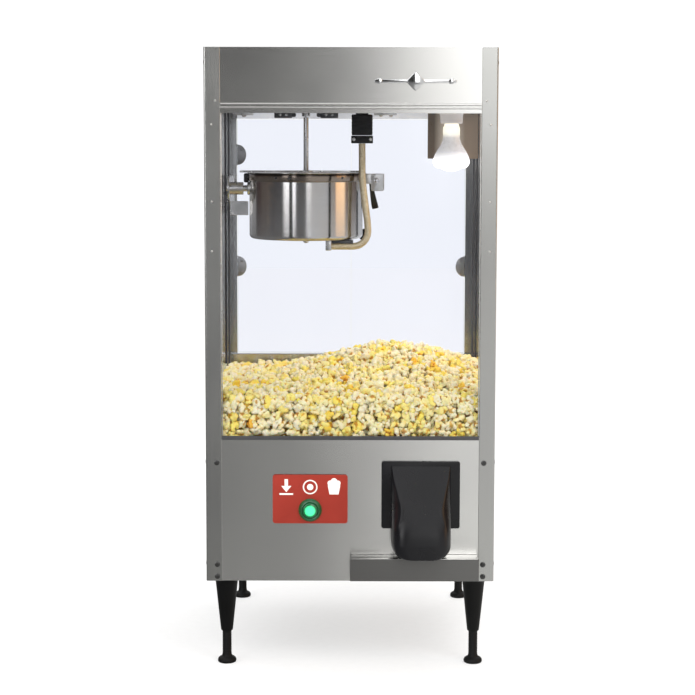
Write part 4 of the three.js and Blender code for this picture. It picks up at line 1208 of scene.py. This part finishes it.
def kernel_shapes(directions, count, rng):
    """Popped kernels about one unit in radius: round lobes with folds between them."""
    shapes = []
    for _ in range(count):
        lobes = int(rng.integers(11, 18))
        centres = rng.normal(size=(lobes, 3))
        centres /= np.linalg.norm(centres, axis=1)[:, None]
        centres *= rng.uniform(0.36, 0.78, (lobes, 1))
        radii = rng.uniform(0.22, 0.38, lobes)
        along = directions @ centres.T
        off = (centres ** 2).sum(1) - along ** 2
        reach = np.where(off < radii ** 2, along + np.sqrt(np.maximum(radii ** 2 - off, 0)), 0)
        distance = np.maximum(reach.max(1), 0.42)
        ordered = np.sort(reach, axis=1)
        bulge = np.clip((distance - 0.4) / 0.4, 0, 1)
        lone = np.clip((ordered[:, -1] - ordered[:, -2]) / 0.1 + 0.5, 0, 1)
        shapes.append((directions * distance[:, None], bulge * lone))
    return shapes


def kernel_places(rng):
    """Where the kernels sit: two layers over the heap, and two against each pane."""
    places = []
    for depth, pitch in ((6.5, 14.6), (17.0, 16.5)):
        for x in np.arange(-236, 237, pitch):
            for y in np.arange(-210, 254, pitch):
                px = x + rng.uniform(-4.5, 4.5)
                py = y + rng.uniform(-4.5, 4.5)
                places.append((px, py, heap_top(px, py) - depth + rng.uniform(-3.5, 3.5)))
    for depth, pitch in ((8.5, 14.4), (20.0, 16.5)):
        for z in np.arange(403, 560, pitch):
            for x in np.arange(-237, 238, pitch):
                places.append((x + rng.uniform(-4, 4), FRONT + 8.5 + depth + rng.uniform(-2, 2),
                               z + rng.uniform(-4, 4)))
            for y in np.arange(-196, 256, pitch):
                for side in (-1, 1):
                    places.append((side * (245.5 - depth + rng.uniform(-2, 2)), y + rng.uniform(-4, 4),
                                   z + rng.uniform(-4, 4)))
    return places


def popcorn():
    """About three thousand kernels over a core darkened as painted shade, in pieces of at most six hundred
    kernels each.
    """
    rng = np.random.default_rng(7)
    directions, triangles = unit_sphere()
    shapes = kernel_shapes(directions, 16, rng)
    places = [p for p in kernel_places(rng) if p[2] < heap_top(p[0], p[1]) - 3]
    batches = math.ceil(len(places) / BATCH)
    for batch in range(batches):
        points, folds, tints, faces = [], [], [], []
        for n, place in enumerate(places[batch::batches]):
            shape, fold = shapes[int(rng.integers(len(shapes)))]
            turn = np.array(Matrix.Rotation(rng.uniform(0, 6.28), 3, Vector(rng.normal(size=3))))
            size = rng.uniform(10.4, 13.6)
            stretch = rng.uniform(0.86, 1.12, 3)
            points.append((shape * stretch * size) @ turn.T + np.array(place))
            folds.append(fold)
            tints.append(np.full(len(fold), rng.beta(1.5, 2.6)))
            faces.append(triangles + n * len(shape))
        cloud = np.concatenate(points)
        cloud[:, 0] = np.clip(cloud[:, 0], -PANE_INSIDE, PANE_INSIDE)
        cloud[:, 1] = np.clip(cloud[:, 1], FRONT + 8.0, DOOR_INSIDE)
        thing = kernel_mesh(f"popcorn_{batch + 1}", cloud, np.concatenate(faces), np.concatenate(tints),
                            np.concatenate(folds))
        if batch == 0:
            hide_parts("popcorn")
    popcorn_core()


def kernel_mesh(name, points, faces, tint, fold):
    data = bpy.data.meshes.new(name)
    data.from_pydata(points * MM, [], faces)
    data.polygons.foreach_set("use_smooth", [True] * len(data.polygons))
    for key, values in (("tint", tint), ("fold", fold)):
        data.attributes.new(key, "FLOAT", "POINT").data.foreach_set("value", values.astype(np.float32))
    data.materials.append(CORN[0])
    thing = bpy.data.objects.new(name, data)
    bpy.context.scene.collection.objects.link(thing)
    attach(thing, "root")
    return thing


def popcorn_core():
    """The heap behind the kernels that show, so that nothing is seen through them, tinted darker as painted
    shade in the gaps.
    """
    columns, rows = 46, 44
    xs = np.linspace(-224, 224, columns + 1)
    ys = np.linspace(-199, 240, rows + 1)
    points = []
    for x in xs:
        for y in ys:
            bump = 3 * math.sin(x * 1.7) * math.cos(y * 1.3)
            points.append((x, y, float(heap_top(x, y)) - 24 + bump))
    over = len(points)
    points += [(x, y, 408.0) for x in xs for y in ys]

    def at(i, j):
        return i * (rows + 1) + j

    faces = []
    for i in range(columns):
        for j in range(rows):
            quad = (at(i, j), at(i + 1, j), at(i + 1, j + 1), at(i, j + 1))
            faces += [quad, tuple(over + k for k in reversed(quad))]
    edge = [at(i, 0) for i in range(columns)] + [at(columns, j) for j in range(rows)]
    edge += [at(i, rows) for i in range(columns, 0, -1)] + [at(0, j) for j in range(rows, 0, -1)]
    for a, b in zip(edge, edge[1:] + edge[:1]):
        faces.append((b, a, over + a, over + b))
    # A deep yellow with a fold of 0.12 gives the core a darker tan: painted shade between the kernels.
    thing = kernel_mesh("popcorn_core", np.array(points), faces, np.full(len(points), 0.8),
                        np.full(len(points), 0.12))
    thing.data.polygons.foreach_set("use_smooth", [False] * len(thing.data.polygons))


# ---------------------------------------------------------------- stage and light

BEHIND = ((-180, 0.6), (-124, 0.5), (-118, (0.05, 0.03, 0.03)), (-106, (0.07, 0.035, 0.03)))
LEFT_WINDOW = ((-74, (0.05, 0.05, 0.055)), (-47, (0.06, 0.06, 0.07)), (-42, 3.3), (-21, 3.3))
WARM_RIGHT = ((50, (0.32, 0.27, 0.24)), (62, (0.4, 0.3, 0.22)), (66, (2.6, 1.5, 0.7)), (84, (2.6, 1.7, 0.9)),
              (90, (0.25, 0.13, 0.06)), (124, (0.1, 0.055, 0.03)), (134, 0.6), (180, 0.6))


def bands(room, share, *stops):
    """A ramp round the horizon from stops of (degrees from straight ahead, colour)."""
    return room.ramp(share, *[((degrees + 180) / 360, level) for degrees, level in stops])


def world():
    """White to the camera. To the steel, a room: dark just left of the camera and bright to its right."""
    made = bpy.data.worlds.new("studio")
    made.use_nodes = True
    made.node_tree.nodes.clear()
    room = Nodes(made.node_tree, "Generated")
    height = room.axis("Z")
    azimuth = room.math("ARCTAN2", room.axis("X"), room.math("MULTIPLY", room.axis("Y"), -1))
    share = room.spread(azimuth, 0, 1, -math.pi, math.pi)
    above = bands(room, share, *BEHIND, (-100, (0.13, 0.1, 0.085)), (-80, (0.15, 0.12, 0.1)), *LEFT_WINDOW,
                  (-18, 0.1), (-8, (0.035, 0.035, 0.033)), (0.6, (0.045, 0.045, 0.043)),
                  (1.6, (0.6, 0.6, 0.59)), (2.9, (3.3, 3.3, 3.27)), (9, (3.3, 3.3, 3.26)),
                  (14, (0.8, 0.8, 0.79)), (42, (0.72, 0.72, 0.7)), *WARM_RIGHT)
    below = bands(room, share, *BEHIND, (-100, (0.12, 0.09, 0.075)), (-80, (0.14, 0.11, 0.09)), *LEFT_WINDOW,
                  (-18, 0.2), (10, 0.3), (14, (0.75, 0.75, 0.74)), (42, (0.7, 0.7, 0.68)), *WARM_RIGHT)
    walls = room.mix(room.spread(height, 0, 1, -0.05, 0.02), below, above)
    upward = room.spread(height, 0, 1, 0.4, 0.8)
    upward.node.interpolation_type = "SMOOTHSTEP"
    lit = room.mix(upward, walls, (1.4, 1.4, 1.4))
    seen = room.node("ShaderNodeLightPath").outputs["Is Camera Ray"]
    shade = room.node("ShaderNodeBackground")
    room.feed(shade.inputs["Color"], room.mix(seen, lit, (1.065, 1.065, 1.065)))
    output = room.node("ShaderNodeOutputWorld")
    room.feed(output.inputs["Surface"], shade.outputs["Background"])
    bpy.context.scene.world = made


def area_light(name, place, target, size, power, colour=(1, 1, 1)):
    data = bpy.data.lights.new(name, "AREA")
    data.size = size
    data.energy = power
    data.color = colour
    thing = bpy.data.objects.new(name, data)
    thing.location = place
    thing.rotation_euler = (Vector(target) - Vector(place)).to_track_quat("-Z", "Y").to_euler()
    thing.visible_glossy = False
    bpy.context.scene.collection.objects.link(thing)


def floor():
    """Plain pale floor. The steel sees it darker on the left, as it sees the room."""
    f = Finish("pale_floor")
    grain = f.noise(60, detail=2)
    f.set(Base_Color=f.ramp(grain, (0.3, 0.42), (0.7, 0.44)), Roughness=0.8)
    f.set(Specular_IOR_Level=0.1, Emission_Color=(1, 1, 1, 1), Emission_Strength=0.55)
    side = f.spread(f.axis("X"), 0.0, 1.0, -0.6, 0.6)
    tint = f.ramp(side, (0.0, 0.24), (0.4, (0.34, 0.34, 0.33)), (0.75, (0.9, 0.9, 0.88)))
    glow = f.node("ShaderNodeEmission")
    f.feed(glow.inputs["Color"], tint)
    mirrored = f.node("ShaderNodeLightPath").outputs["Is Glossy Ray"]
    f.cover(mirrored, f.shader.outputs["BSDF"], glow.outputs["Emission"])
    reach = 9000.0
    form = [(-reach, -reach, 0), (reach, -reach, 0), (reach, reach, 0), (-reach, reach, 0)], [(0, 1, 2, 3)]
    thing = make("pale_floor", form, f.material)


camera()
conduit()
cabinet()
post_hardware()
trims()
door_seals()
header_ornament()
door_hinges()
door_knobs()
rear_details()
kettle_shell()
kettle_fittings()
terminal_box()
dump_handle()
lids()
agitator_drive()
lamp()
ceiling_hardware()
chute()
shelf_top()
label()
button()
legs()
popcorn()
world()
area_light("lamp_light", (LAMP_X * MM, 0.0, 0.868), (0.06, 0.08, 0.45), 0.05, 0.7, (1, 0.93, 0.82))
area_light("key", (1.5, -2.2, 2.6), (0, 0, 0.6), 1.4, 40)
area_light("fill", (-2.6, -1.6, 1.8), (0, 0, 0.6), 2.0, 22)
area_light("back", (0.6, 2.4, 2.4), (0, 0, 0.7), 2.0, 30)
floor()
bpy.context.scene.view_settings.view_transform = "Standard"
